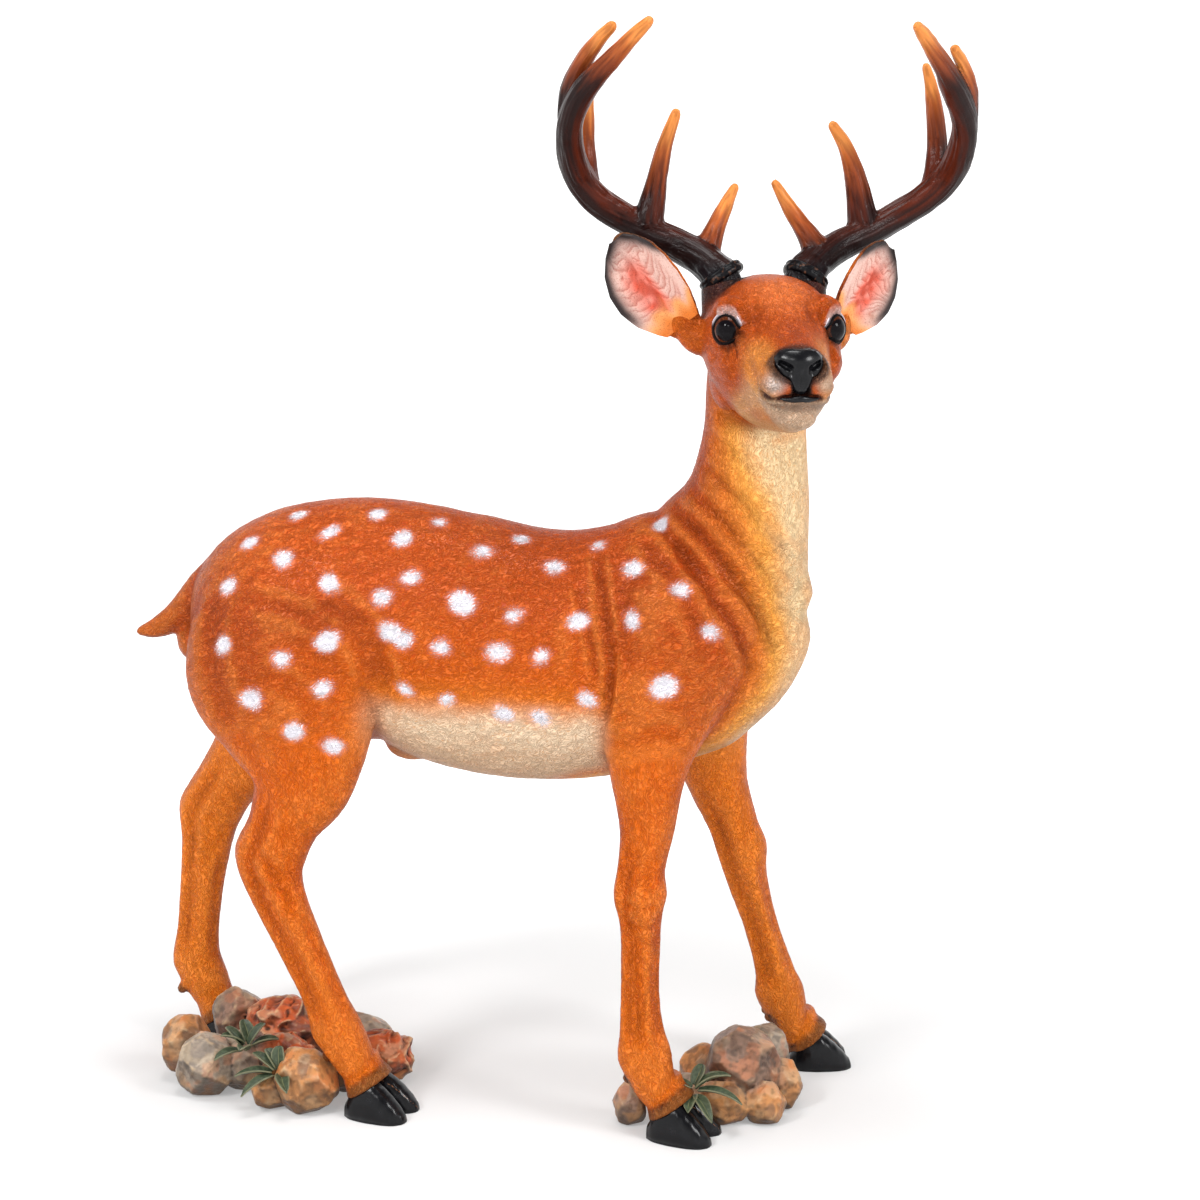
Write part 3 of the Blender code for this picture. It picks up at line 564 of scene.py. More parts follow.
def object_from(name, form):
    """A mesh object with outward faces, still in figure millimetres."""
    points, quads, ends = form
    mesh = bpy.data.meshes.new(name)
    mesh.from_pydata(points.tolist(), [], quads.tolist() + ends.tolist())
    work = bmesh.new()
    work.from_mesh(mesh)
    bmesh.ops.recalc_face_normals(work, faces=work.faces)
    work.to_mesh(mesh)
    work.free()
    obj = bpy.data.objects.new(name, mesh)
    bpy.context.scene.collection.objects.link(obj)
    return obj


def settle(obj):
    """Makes the modifiers part of the mesh."""
    graph = bpy.context.evaluated_depsgraph_get()
    mesh = bpy.data.meshes.new_from_object(obj.evaluated_get(graph))
    obj.modifiers.clear()
    old, obj.data = obj.data, mesh
    bpy.data.meshes.remove(old)
    mesh.name = obj.name
    return mesh


def thicken(obj, thickness, offset):
    """Gives a sheet a thickness, all behind it at an offset of -1."""
    thick = obj.modifiers.new("Thickness", "SOLIDIFY")
    thick.thickness = thickness
    thick.offset = offset


def melt(obj, voxel):
    """Melts overlapping forms into one skin on a grid."""
    remesh = obj.modifiers.new("Melt", "REMESH")
    remesh.mode = "VOXEL"
    remesh.voxel_size = voxel
    remesh.adaptivity = 0
    return settle(obj)


def soften(obj, rounds, weights=None):
    """Evens the skin out; weights say how much at each point."""
    smooth = obj.modifiers.new("Soften", "SMOOTH")
    smooth.factor = 0.5
    smooth.iterations = rounds
    if weights is not None:
        group_points(obj, "soft", weights)
        smooth.vertex_group = "soft"
    return settle(obj)


def group_points(obj, name, weights):
    """A vertex group in steps of a tenth."""
    group = obj.vertex_groups.new(name=name)
    levels = np.round(weights * 10).astype(int)
    for level in range(1, 11):
        members = np.flatnonzero(levels == level)
        if len(members):
            group.add(members.tolist(), level / 10, "REPLACE")


def thin_out(obj, triangles, weights=None):
    """Brings the skin down to a number of triangles, fewer where the weights are high."""
    count = sum(len(p.vertices) - 2 for p in obj.data.polygons)
    if count <= triangles:
        return obj.data
    decimate = obj.modifiers.new("Facets", "DECIMATE")
    decimate.ratio = triangles / count
    decimate.use_collapse_triangulate = True
    if weights is not None:
        group_points(obj, "thin", weights)
        decimate.vertex_group = "thin"
        decimate.vertex_group_factor = 1.0
    return settle(obj)


def hollows(obj, rounds):
    """How far each point lies below the evened skin: positive in folds, negative on ridges."""
    other = obj.copy()
    other.data = obj.data.copy()
    bpy.context.scene.collection.objects.link(other)
    even = read(soften(other, rounds), "co")
    found = ((even - read(obj.data, "co")) * read(obj.data, "normal")).sum(axis=1)
    bpy.data.objects.remove(other)
    return found


def finish_piece(obj, finish, nodes=()):
    """Moves the piece from figure millimetres to its own frame, inside the solids' box, gives it its
    finish, attaches it to the root body and hides the solids that it replaces.
    """
    mesh = obj.data
    low, high = CAD_BOX
    write_points(mesh, np.clip(read(mesh, "co") * MM + SHIFT, np.array(low), np.array(high)))
    mesh.materials.clear()
    mesh.materials.append(finish)
    mesh.shade_smooth()
    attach(obj, "root")
    for node in nodes:
        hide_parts(node)


class Finish:
    """A material being put together: short ways to add and join its nodes."""

    def __init__(self, name, roughness, **sockets):
        self.material = bpy.data.materials.new(name)
        self.material.use_nodes = True
        self.tree = self.material.node_tree
        self.shader = self.tree.nodes["Principled BSDF"]
        self.feed(self.shader.inputs["Roughness"], roughness)
        for key, value in sockets.items():
            self.feed(self.shader.inputs[key.replace("_", " ")], value)
        self.place = self.node("TexCoord").outputs["Object"]

    def feed(self, socket, value):
        if isinstance(value, bpy.types.NodeSocket):
            self.tree.links.new(value, socket)
        else:
            socket.default_value = value

    def node(self, kind, inputs=(), **settings):
        made = self.tree.nodes.new("ShaderNode" + kind)
        for key, value in settings.items():
            setattr(made, key, value)
        for key, value in dict(inputs).items():
            self.feed(made.inputs[key], value)
        return made

    def field(self, name, part="Fac"):
        return self.node("Attribute", attribute_name=name).outputs[part]

    def calc(self, operation, first, second):
        return self.node("Math", {0: first, 1: second}, operation=operation).outputs[0]

    def noise(self, vector, scale, detail=2.0, roughness=0.5):
        inputs = {"Vector": vector, "Scale": scale, "Detail": detail, "Roughness": roughness}
        return self.node("TexNoise", inputs).outputs["Fac"]

    def warped(self, vector, scale, reach):
        """The place moved about by a slow noise, so that strokes curl."""
        slow = self.node("TexNoise", {"Vector": vector, "Scale": scale, "Detail": 1.0}).outputs["Color"]
        centred = self.node("VectorMath", {0: slow, 1: (0.5, 0.5, 0.5)}, operation="SUBTRACT").outputs[0]
        reached = self.node("VectorMath", {0: centred, "Scale": reach}, operation="SCALE").outputs[0]
        return self.node("VectorMath", {0: vector, 1: reached}, operation="ADD").outputs[0]

    def strokes(self, vector, way, scale, stretch):
        """Noise drawn out along a way."""
        turn = Vector(way).to_track_quat("X", "Z").to_euler()
        inputs = {"Vector": vector, "Rotation": turn, "Scale": (stretch, 1, 1)}
        local = self.node("Mapping", inputs, vector_type="TEXTURE").outputs[0]
        return self.noise(local, scale, 1.5, 0.45)

    def span(self, value, low, high, start=0.0, end=1.0):
        """Maps a value from low..high to start..end, smoothly and held at both."""
        inputs = {"Value": value, "From Min": low, "From Max": high, "To Min": start, "To Max": end}
        return self.node("MapRange", inputs, interpolation_type="SMOOTHSTEP").outputs["Result"]

    def mix(self, share, first, second, blend="MIX"):
        made = self.node("Mix", data_type="RGBA", blend_type=blend)
        self.feed(made.inputs[0], share)
        for socket, value in ((made.inputs[6], first), (made.inputs[7], second)):
            self.feed(socket, value if isinstance(value, bpy.types.NodeSocket) else (*value, 1))
        return made.outputs[2]

    def times(self, colour, factors):
        """A colour dimmed or lifted part by part."""
        return self.mix(1.0, colour, factors, "MULTIPLY")

    def mix_number(self, share, first, second):
        made = self.node("Mix", data_type="FLOAT")
        for socket, value in ((made.inputs[0], share), (made.inputs[2], first), (made.inputs[3], second)):
            self.feed(socket, value)
        return made.outputs[0]

    def bump(self, height, distance, strength, below=None):
        inputs = {"Height": height, "Distance": distance, "Strength": strength}
        if below is not None:
            inputs["Normal"] = below
        return self.node("Bump", inputs).outputs["Normal"]

    def done(self, colour, normal=None):
        self.feed(self.shader.inputs["Base Color"], colour)
        if normal is not None:
            self.feed(self.shader.inputs["Normal"], normal)
        return self.material


BODY_FLOW = (-0.9, 0.0, -0.38)
DOWN_FLOW = (0.12, 0.05, -1.0)
HEAD_FLOW = tuple(-HEAD[:, 0])


def coat_finish(settings):
    """Hand-painted fur: the paint, with painted shade and painted highlight along the curling hair strokes,
    white spots over it, and painted shade where the skin turns away from view.
    """
    made = Finish("painted fur", 0.34, Specular_IOR_Level=0.12)
    curled = made.warped(made.place, 95, 0.013)
    body = made.strokes(curled, BODY_FLOW, 900, 4.8)
    down = made.strokes(curled, DOWN_FLOW, 860, 4.8)
    head = made.strokes(curled, HEAD_FLOW, 1050, 4.4)
    stroke = made.mix_number(made.field("flow_down"), body, down)
    stroke = made.mix_number(made.field("flow_head"), stroke, head)
    broad = made.noise(made.place, 28, 3)
    paint = made.field("paint", "Color")
    # painted shade in the hollows of the hair strokes and painted highlight on their crests, from the noise
    # that also makes the bump
    dark = made.times(paint, (0.72, 0.56, 0.44))
    light = made.mix(0.055, paint, (1.0, 0.46, 0.22))
    colour = made.mix(made.span(stroke, 0.34, 0.44), dark, paint)
    colour = made.mix(made.span(stroke, 0.53, 0.64), colour, light)
    colour = made.mix(made.span(broad, 0.35, 0.7, 0.0, 0.3), colour, made.times(colour, (0.9, 0.8, 0.72)))
    ragged = made.calc("MULTIPLY", made.calc("SUBTRACT", stroke, 0.5), 10.0)
    edge = made.calc("ADD", made.field("spot"), ragged)
    inside = made.span(edge, 3.2, -2.6)
    halo = made.span(edge, 6.5, 0.0, 0.0, 0.34)
    colour = made.mix(halo, colour, tone(232, 170, 160))
    colour = made.mix(inside, colour, tuple(settings.spot))
    # painted shade: the coat darkens where the skin turns away from view, at the edges of the body and legs
    rim = made.node("LayerWeight", {"Blend": 0.35}).outputs["Facing"]
    turned = made.span(rim, 0.25, 0.9, 0.0, 0.7)
    colour = made.mix(turned, colour, made.times(colour, (0.72, 0.6, 0.5)))
    relief = made.bump(made.span(stroke, 0.36, 0.62), settings.fur_depth, 1.0)
    return made.done(colour, relief)


def gloss_black(settings, name):
    """Lacquered black with the faint waviness of a hand-cast part."""
    made = Finish(name, 0.25, Specular_IOR_Level=0.24)
    wave = made.noise(made.place, 120, 2)
    black = tuple(settings.black)
    colour = made.mix(made.span(wave, 0.4, 0.75, 0.0, 0.5), black, tuple(1.9 * c + 0.004 for c in black))
    return made.done(colour, made.bump(wave, 0.0005, 0.35))


def ear_surface(share, reach, side, lift=0.0, thick=0.0):
    """The ear: a line bowed from root to tip, cupped by cup · (reach² − 0.6) the way that it opens."""
    root, tip = on_side(EAR_ROOT, side), on_side(EAR_TIPS[side], side)
    start = root + (tip - root) * 0.08
    axis = unit(tip - start)
    opening = on_side(EAR_OPENING, side)
    opening = unit(opening - axis * (opening @ axis))
    across = np.cross(axis, opening)
    outwards = across * (1 if across[1] * side > 0 else -1)
    shares, widths = zip(*EAR_OUTLINE)
    half = (EAR_HALF_WIDTH * np.interp(share, shares, widths))[..., None]
    cup = half * 0.45 * (1 - 0.35 * share[..., None])
    bow = outwards * EAR_BOW * np.sin(np.pi * share[..., None])
    centre = start + share[..., None] * (tip - start) + bow
    reach = reach[..., None]
    height = cup * (reach**2 - 0.6) + thick + lift
    return centre + outwards * reach * half + opening * height


def ear_form(side):
    """The ear as a closed blade, thickness · |sin a|^0.6 round its edge."""
    shares = (0, 0.04, 0.08, 0.15, 0.22, 0.3, 0.38, 0.46, 0.54, 0.62, 0.7, 0.78, 0.85, 0.91, 0.96, 1)
    turn = np.linspace(0, 2 * np.pi, 24, endpoint=False)
    share, turn = np.meshgrid(shares, turn, indexing="ij")
    thick = np.sign(np.sin(turn)) * np.abs(np.sin(turn)) ** 0.6 * EAR_THICKNESS / 2
    return from_head(ear_surface(share, np.cos(turn), side, thick=thick[..., None]))


def head_forms():
    """Skull rings: side = |cos a|^0.9 · half width, narrower at the jaw; height goes by |sin a|^0.9."""
    rows = smooth_line(HEAD_SECTIONS, 4)
    forward, half, top, bottom = (rows[:, k, None] for k in range(4))
    turn = np.linspace(0, 2 * np.pi, 40, endpoint=False)[None]
    c, s = np.cos(turn), np.sin(turn)
    ahead = np.maximum(0, forward)
    side = np.sign(c) * np.abs(c) ** 0.9 * half * (1 - (0.22 + 0.0014 * ahead) * np.maximum(0, -s))
    height = (top + bottom) / 2 + np.sign(s) * np.abs(s) ** 0.9 * (top - bottom) / 2
    skull = np.stack([forward + 0 * side, side + MUZZLE_SWAY * ahead, height], axis=-1)
    forms = [skin(from_head(skull))]
    for forward, left, up, *halves in HEAD_SWELLINGS:
        for side in {left, -left}:
            forms.append(skin(from_head(blob((forward, side + MUZZLE_SWAY * max(0, forward), up), halves))))
    for side in (-1, 1):
        forms.append(skin(ear_form(side)))
        root, tip = on_side(EAR_ROOT, side), on_side(EAR_TIPS[side], side)
        inner = root + np.array((4, -side * 26, 0))
        outer = root + (tip - root) * 0.22 + np.array((-13, -side * 4, 0))
        funnel = ((*inner, 21, 21), (*root, 14, 15), (*outer, 8, 12))
        forms.append(skin(from_head(limb(funnel))))
        forward, left, up = BURR_PLACE
        pedicle = ((forward + 2, side * (left - 6), up - 34, 26, 26), (forward, side * left, up, 21, 21))
        stub = domed(smooth_line(pedicle, 4))[:-3]
        along = unit(np.gradient(stub[:, :3], axis=0))
        across = unit(np.cross(along, (1, 0, 0)))
        turn = np.linspace(0, 2 * np.pi, 32, endpoint=False)[None, :, None]
        rings = stub[:, None, :3] + stub[:, 3, None, None] * (
            across[:, None] * np.cos(turn) + np.cross(along, across)[:, None] * np.sin(turn)
        )
        forms.append(skin(from_head(rings)))
    return forms


def hoof_place(hoof, points, splay=0.0):
    """Puts points given as forward, sideways, height from a sole's middle on the figure."""
    x, y, bearing = hoof
    for angle in (splay, bearing):
        c, s = math.cos(math.radians(angle)), math.sin(math.radians(angle))
        points = points @ np.array(((c, s, 0), (-s, c, 0), (0, 0, 1)))
    return points + np.array((x, y, 0))


def to_hoof(hoof, points):
    """Figure points as forward, sideways and height from a sole's middle."""
    x, y, bearing = hoof
    c, s = math.cos(math.radians(bearing)), math.sin(math.radians(bearing))
    return (points - np.array((x, y, 0))) @ np.array(((c, -s, 0), (s, c, 0), (0, 0, 1)))


def cuff_form(hoof):
    """The fur over the claws: ovals that tip forward and grow until they meet the claws' top edge."""
    rows = smooth_line(CUFF, 4)
    forward, height, length, width, slope = (rows[:, k, None] for k in range(5))
    turn = np.linspace(0, 2 * np.pi, 36, endpoint=False)[None]
    lean = np.radians(slope)
    ahead = length * np.cos(turn)
    rings = (forward + ahead * np.cos(lean), width * np.sin(turn), height + ahead * np.sin(lean))
    rings = np.stack(rings, axis=-1)
    inner = rings[-1:] * 0.55 + rings[-1:].mean(axis=1, keepdims=True) * 0.45 - np.array((0, 0, 2.0))
    return skin(hoof_place(hoof, np.concatenate([rings, inner])))


def dewclaw_form(hoof, side):
    """A short thick peg that points down and back."""
    back, sideways, height = DEWCLAW
    root = (back + 14, side * sideways, height + 8, 9.5, 9.5)
    tip = (back, side * sideways, height - 8, 5.5, 5.5)
    return skin(hoof_place(hoof, limb((root, tip), 16, 5)))


def mirrored(line):
    """The same line on the deer's other side."""
    return [(x, -y, z) for x, y, z in line]


def crease_lines():
    """Every crease of the skin: the smooth line, its width and its depth."""
    both = []
    for line, width, depth in SIDE_CREASES + NECK_CREASES:
        both += [(line, width, depth), (mirrored(line), width, depth)]
    for stations in LEGS:
        rows = np.array(stations, float)
        for side in (-1, 1):
            sunk = [
                (x - 0.42 * deep, y + side * 0.91 * wide, z) for x, y, z, deep, wide in rows if 75 < z < 330
            ]
            both.append((sunk, 6.5, 2.8))
            ridge = [
                (x + 0.5 * deep, y + side * 0.86 * wide, z) for x, y, z, deep, wide in rows if 75 < z < 240
            ]
            both.append((ridge, 5, -1.6))
    for side in (-1, 1):
        for line, width, depth in HEAD_CREASES:
            placed = [(f, MUZZLE_SWAY * max(0, f) + side * out, up) for f, out, up in line]
            both.append((from_head(placed), width, depth))
    return [(smooth_line(np.array(line, float), 6), width, depth) for line, width, depth in both]


# Creases of the face: forward, outward, up; then width and depth
HEAD_CREASES = (
    (((-2, 44, 27), (14, 45, 22), (21, 38, 18), (27, 34, 10), (33, 34, 0), (35, 36, -8)), 4.0, 3.4),
    (((4, 36, 34), (20, 29, 26), (31, 25, 16), (38, 24, 4)), 5, 2.0),
    (((31, 40, -8), (32, 43, -16), (34, 44, -27)), 3.6, 1.8),
    (((28, 47, -15), (18, 54, -21), (4, 58, -23), (-10, 60, -18)), 3.6, 1.3),
    (((-14, 58, 8), (-24, 60, 5), (-36, 60, -2)), 3.6, 1.2),
    (((-66, 40, -78), (-58, 33, -86), (-48, 19, -90), (-46, 5, -91)), 6.0, 3.2),
    (((54, 36, -24), (68, 34, -32), (80, 32, -40), (88, 31, -46)), 5.0, 1.4),
    (MOUTH_LINE, 2.6, 3.2),
)
# Soft forms on the head: centre in head coordinates, three half sizes, height
HEAD_FORMS = (
    ((16, 34, 26), (9, 10, 8), 2.2), ((8, 12, 40), (26, 14, 14), 1.6),
    ((-4, 56, -34), (26, 14, 18), 2.4), ((66, 30, -44), (20, 12, 14), 1.8),
    ((60, 18, 8), (26, 8, 10), -1.2), ((36, 34, -18), (14, 10, 10), -1.6),
)


def eye_axes(side):
    """The middle of an eye and three ways: out of the lids, towards the tear corner, and up."""
    centre = on_side(EYE_PLACE, side)
    out = unit(on_side(LID_WAY, side))
    corner = np.array((LID_WAY[1], -side * LID_WAY[0], -0.1))
    corner = unit(corner - out * (corner @ out))
    rise = np.cross(out, corner) * -side
    return centre, out, corner, rise


def lid_edge(turn, side):
    """Angle of the lid's edge from the eye's way out: round, with a point at the tear corner."""
    wide = LID_OPENING[side]
    point = 21 * np.maximum(0, np.cos(turn + 0.12)) ** 11
    return wide + point + 1.5 * np.sin(turn) - 2.5 * np.cos(2 * turn) * (np.cos(turn) < 0)


def eye_polar(points, side):
    """Distance from an eye's middle, and angle beyond the lid's edge and turn round the eye's way out."""
    centre, out, corner, rise = eye_axes(side)
    spread = points - centre
    reach = np.linalg.norm(spread, axis=1)
    ways = spread / np.maximum(reach, 1e-6)[:, None]
    turn = np.arctan2(ways @ rise, ways @ corner)
    beyond = np.degrees(np.arccos(np.clip(ways @ out, -1, 1))) - lid_edge(turn, side)
    return reach, beyond, turn


def shape_sockets(points):
    """Presses the skin behind the eyeball inside the lids, and lifts it just over the ball outside them."""
    placed = to_head(points)
    for side in (-1, 1):
        reach, beyond, _ = eye_polar(placed, side)
        centre = eye_axes(side)[0]
        near = (reach < 34) & (reach > 4)
        ways = (placed - centre) / np.maximum(reach, 1e-6)[:, None]
        inner = ease(beyond, 12, 8)
        rim = ease(beyond, 8, 12) * ease(beyond, 34, 18)
        wanted = reach + (np.minimum(reach, 12.6) - reach) * inner
        wanted = wanted + (np.maximum(wanted, EYE_RADIUS + 2.0) - wanted) * rim
        placed = np.where(near[:, None], centre + ways * wanted[:, None], placed)
    return from_head(placed)


def clear_nose(points):
    """Draws the skin back behind the nose pad and its stem."""
    placed = to_head(points)
    forward, left, up = placed.T
    _, middle, height = NOSE_MIDDLE
    pad = np.hypot((left - middle) / 22, (up - height - 1) / 14.5)
    stem = np.maximum(np.abs(left - middle) / 7, np.abs(up + 39) / 10)
    share = np.maximum(ease(pad, 1.05, 0.86), ease(stem, 1.1, 0.8)) * ease(forward, 92, 98)
    nostril = np.hypot((np.abs(left - middle) - 13) / 6, (up - height) / 5)
    placed[:, 0] -= 5.5 * share + 6 * ease(nostril, 1.4, 0.7) * ease(forward, 92, 98)
    return from_head(placed)


# Knees and hocks: place, three half sizes, height; the front ones bulge ahead and the hind ones behind
KNEES = (
    ((70, -72, 240), (18, 26, 22), 3.2), ((58, -86, 222), (20, 14, 16), 1.6),
    ((60, -72, 182), (14, 22, 16), 1.2), ((143, 92, 240), (18, 26, 22), 3.6),
    ((138, 88, 214), (16, 16, 16), 1.8), ((-338, -71, 258), (16, 22, 26), 2.6),
    ((-300, -88, 262), (22, 14, 22), 2.2), ((-460, 88, 258), (16, 22, 26), 2.6),
    ((74, -72, 84), (16, 26, 18), 0.8), ((40, -72, 78), (14, 26, 16), 2.2),
    ((178, 122, 86), (16, 26, 18), 0.8), ((146, 116, 80), (14, 26, 16), 2.2),
    ((-228, -74, 84), (16, 26, 18), 0.8), ((-262, -74, 80), (14, 26, 16), 2.2),
    ((-470, 92, 84), (14, 26, 16), 2.2),
)


def soft_forms(points, forms, sides, total):
    """Adds soft bulges to the total: height · exp(−2 r²), r being the share of each one's half sizes."""
    for centre, halves, height in forms:
        for side in sides:
            spread = (points - np.array(centre) * (1, side, 1)) / halves
            total += height * np.exp(-2 * (spread**2).sum(axis=1))
    return total


def leg_share(points):
    """1 on the legs and 0 on the trunk, eased over the shoulder and the thigh."""
    x, _, z = points.T
    between = ease(x, -215, -190) * ease(x, 30, 6) * ease(z, 290, 330)
    return ease(z, 400, 340) * (1 - between)


def neck_share(points):
    """1 on the neck and head, eased in above the shoulders."""
    return ease(points[:, 2], 545, 600) * ease(points[:, 0], 40, 80)


def head_share(placed):
    """1 on the head, from head coordinates, eased over the nape and the throat."""
    return ease(placed[:, 0], -75, -40) * ease(placed[:, 2], -96, -84)


def sculpt_skin(obj):
    """Moves each point along its normal by soft forms, creases with raised sides, and hair clumps."""
    mesh = obj.data
    points, normals = read(mesh, "co"), read(mesh, "normal")
    placed = to_head(points)
    push = soft_forms(points, SIDE_FORMS, (1, -1), np.zeros(len(points)))
    push = soft_forms(placed, HEAD_FORMS, (1, -1), push)
    push += soft_forms(points, KNEES, (1,), np.zeros(len(points)))
    for line, width, depth in crease_lines():
        away, place = from_line(points, line, 3.2 * width)
        fade = ease(place, -0.02, 0.18) * ease(place, 1.02, 0.82)
        near = np.isfinite(away)
        sides = np.exp(-(((away[near] - 2 * width) / (0.8 * width)) ** 2))
        shape = np.exp(-((away[near] / width) ** 2)) - 0.42 * sides
        push[near] -= depth * fade[near] * shape
    down = np.clip(leg_share(points) + neck_share(points), 0, 1)
    head = head_share(placed)
    slow = 5 * np.stack([lattice_noise(points / 13, seed) for seed in (3, 4, 5)], axis=1)
    curled = points + slow
    clumps = []
    for way, seed in ((BODY_FLOW, 6), (DOWN_FLOW, 7), (HEAD_FLOW, 8)):
        fine = lattice_noise(stretched(curled, way, 2.6, 8), seed)
        clumps.append(fine + 0.6 * lattice_noise(stretched(curled, way, 7, 18), seed + 10))
    clump = clumps[0] * (1 - down) + clumps[1] * down
    clump = clump * (1 - head) + 0.55 * clumps[2] * head
    push += 0.28 * clump * ease(placed[:, 0], 96, 84)
    points = points + normals * push[:, None]
    write_points(mesh, clear_nose(shape_sockets(points)))


def crease_share(points):
    """The creases' painted shade at each point: 1 on the line of a deep one, falling off with its width."""
    share = np.zeros(len(points))
    for line, width, depth in crease_lines():
        away, place = from_line(points, line, 3 * width)
        near = np.isfinite(away)
        fade = ease(place[near], -0.02, 0.2) * ease(place[near], 1.02, 0.8) * np.clip((depth - 1) / 3, 0, 1)
        share[near] = np.maximum(share[near], fade * np.exp(-((away[near] / (0.9 * width)) ** 2)))
    return share


def spot_field(points):
    """Distance outside the nearest spot's edge, held to 20 mm; the left side nearly mirrors the right."""
    field = np.full(len(points), 20.0)
    settings = bpy.context.scene.stag_coat
    for k, (x, y, z, radius) in enumerate(SPOTS):
        for side in (1, -1):
            place = np.array((x, y * side, z), float)
            if side < 0:
                place += np.array((math.sin(5.1 * k) * 6, 0, math.cos(3.7 * k) * 5))
            gap = np.linalg.norm(points - place, axis=1)
            centre = points[np.argmin(gap)]
            near = gap < 60
            spread = points[near] - centre
            lean = math.sin(2.3 * k) * 0.5
            along = spread[:, 0] * math.cos(lean) + spread[:, 2] * math.sin(lean)
            length = np.sqrt((spread**2).sum(axis=1) - 0.3 * along**2)
            field[near] = np.minimum(field[near], length - radius * settings.spot_size)
    return field


class Paint:
    """The colour of each point of a mesh, laid on in coats."""

    def __init__(self, count, colour):
        self.colour = np.tile(np.array(colour), (count, 1))

    def lay(self, colour, share):
        """Lays a colour over the paint by a share at each point."""
        share = np.clip(share, 0, 1)[:, None]
        self.colour = self.colour * (1 - share) + np.array(colour) * share


def round_share(placed, centre, halves, soft=0.5):
    """1 inside an ellipsoid and 0 outside, eased over a share of its size."""
    reach = np.sqrt((((placed - np.array(centre)) / np.array(halves)) ** 2).sum(axis=1))
    return ease(reach, 1 + soft, 1 - soft)


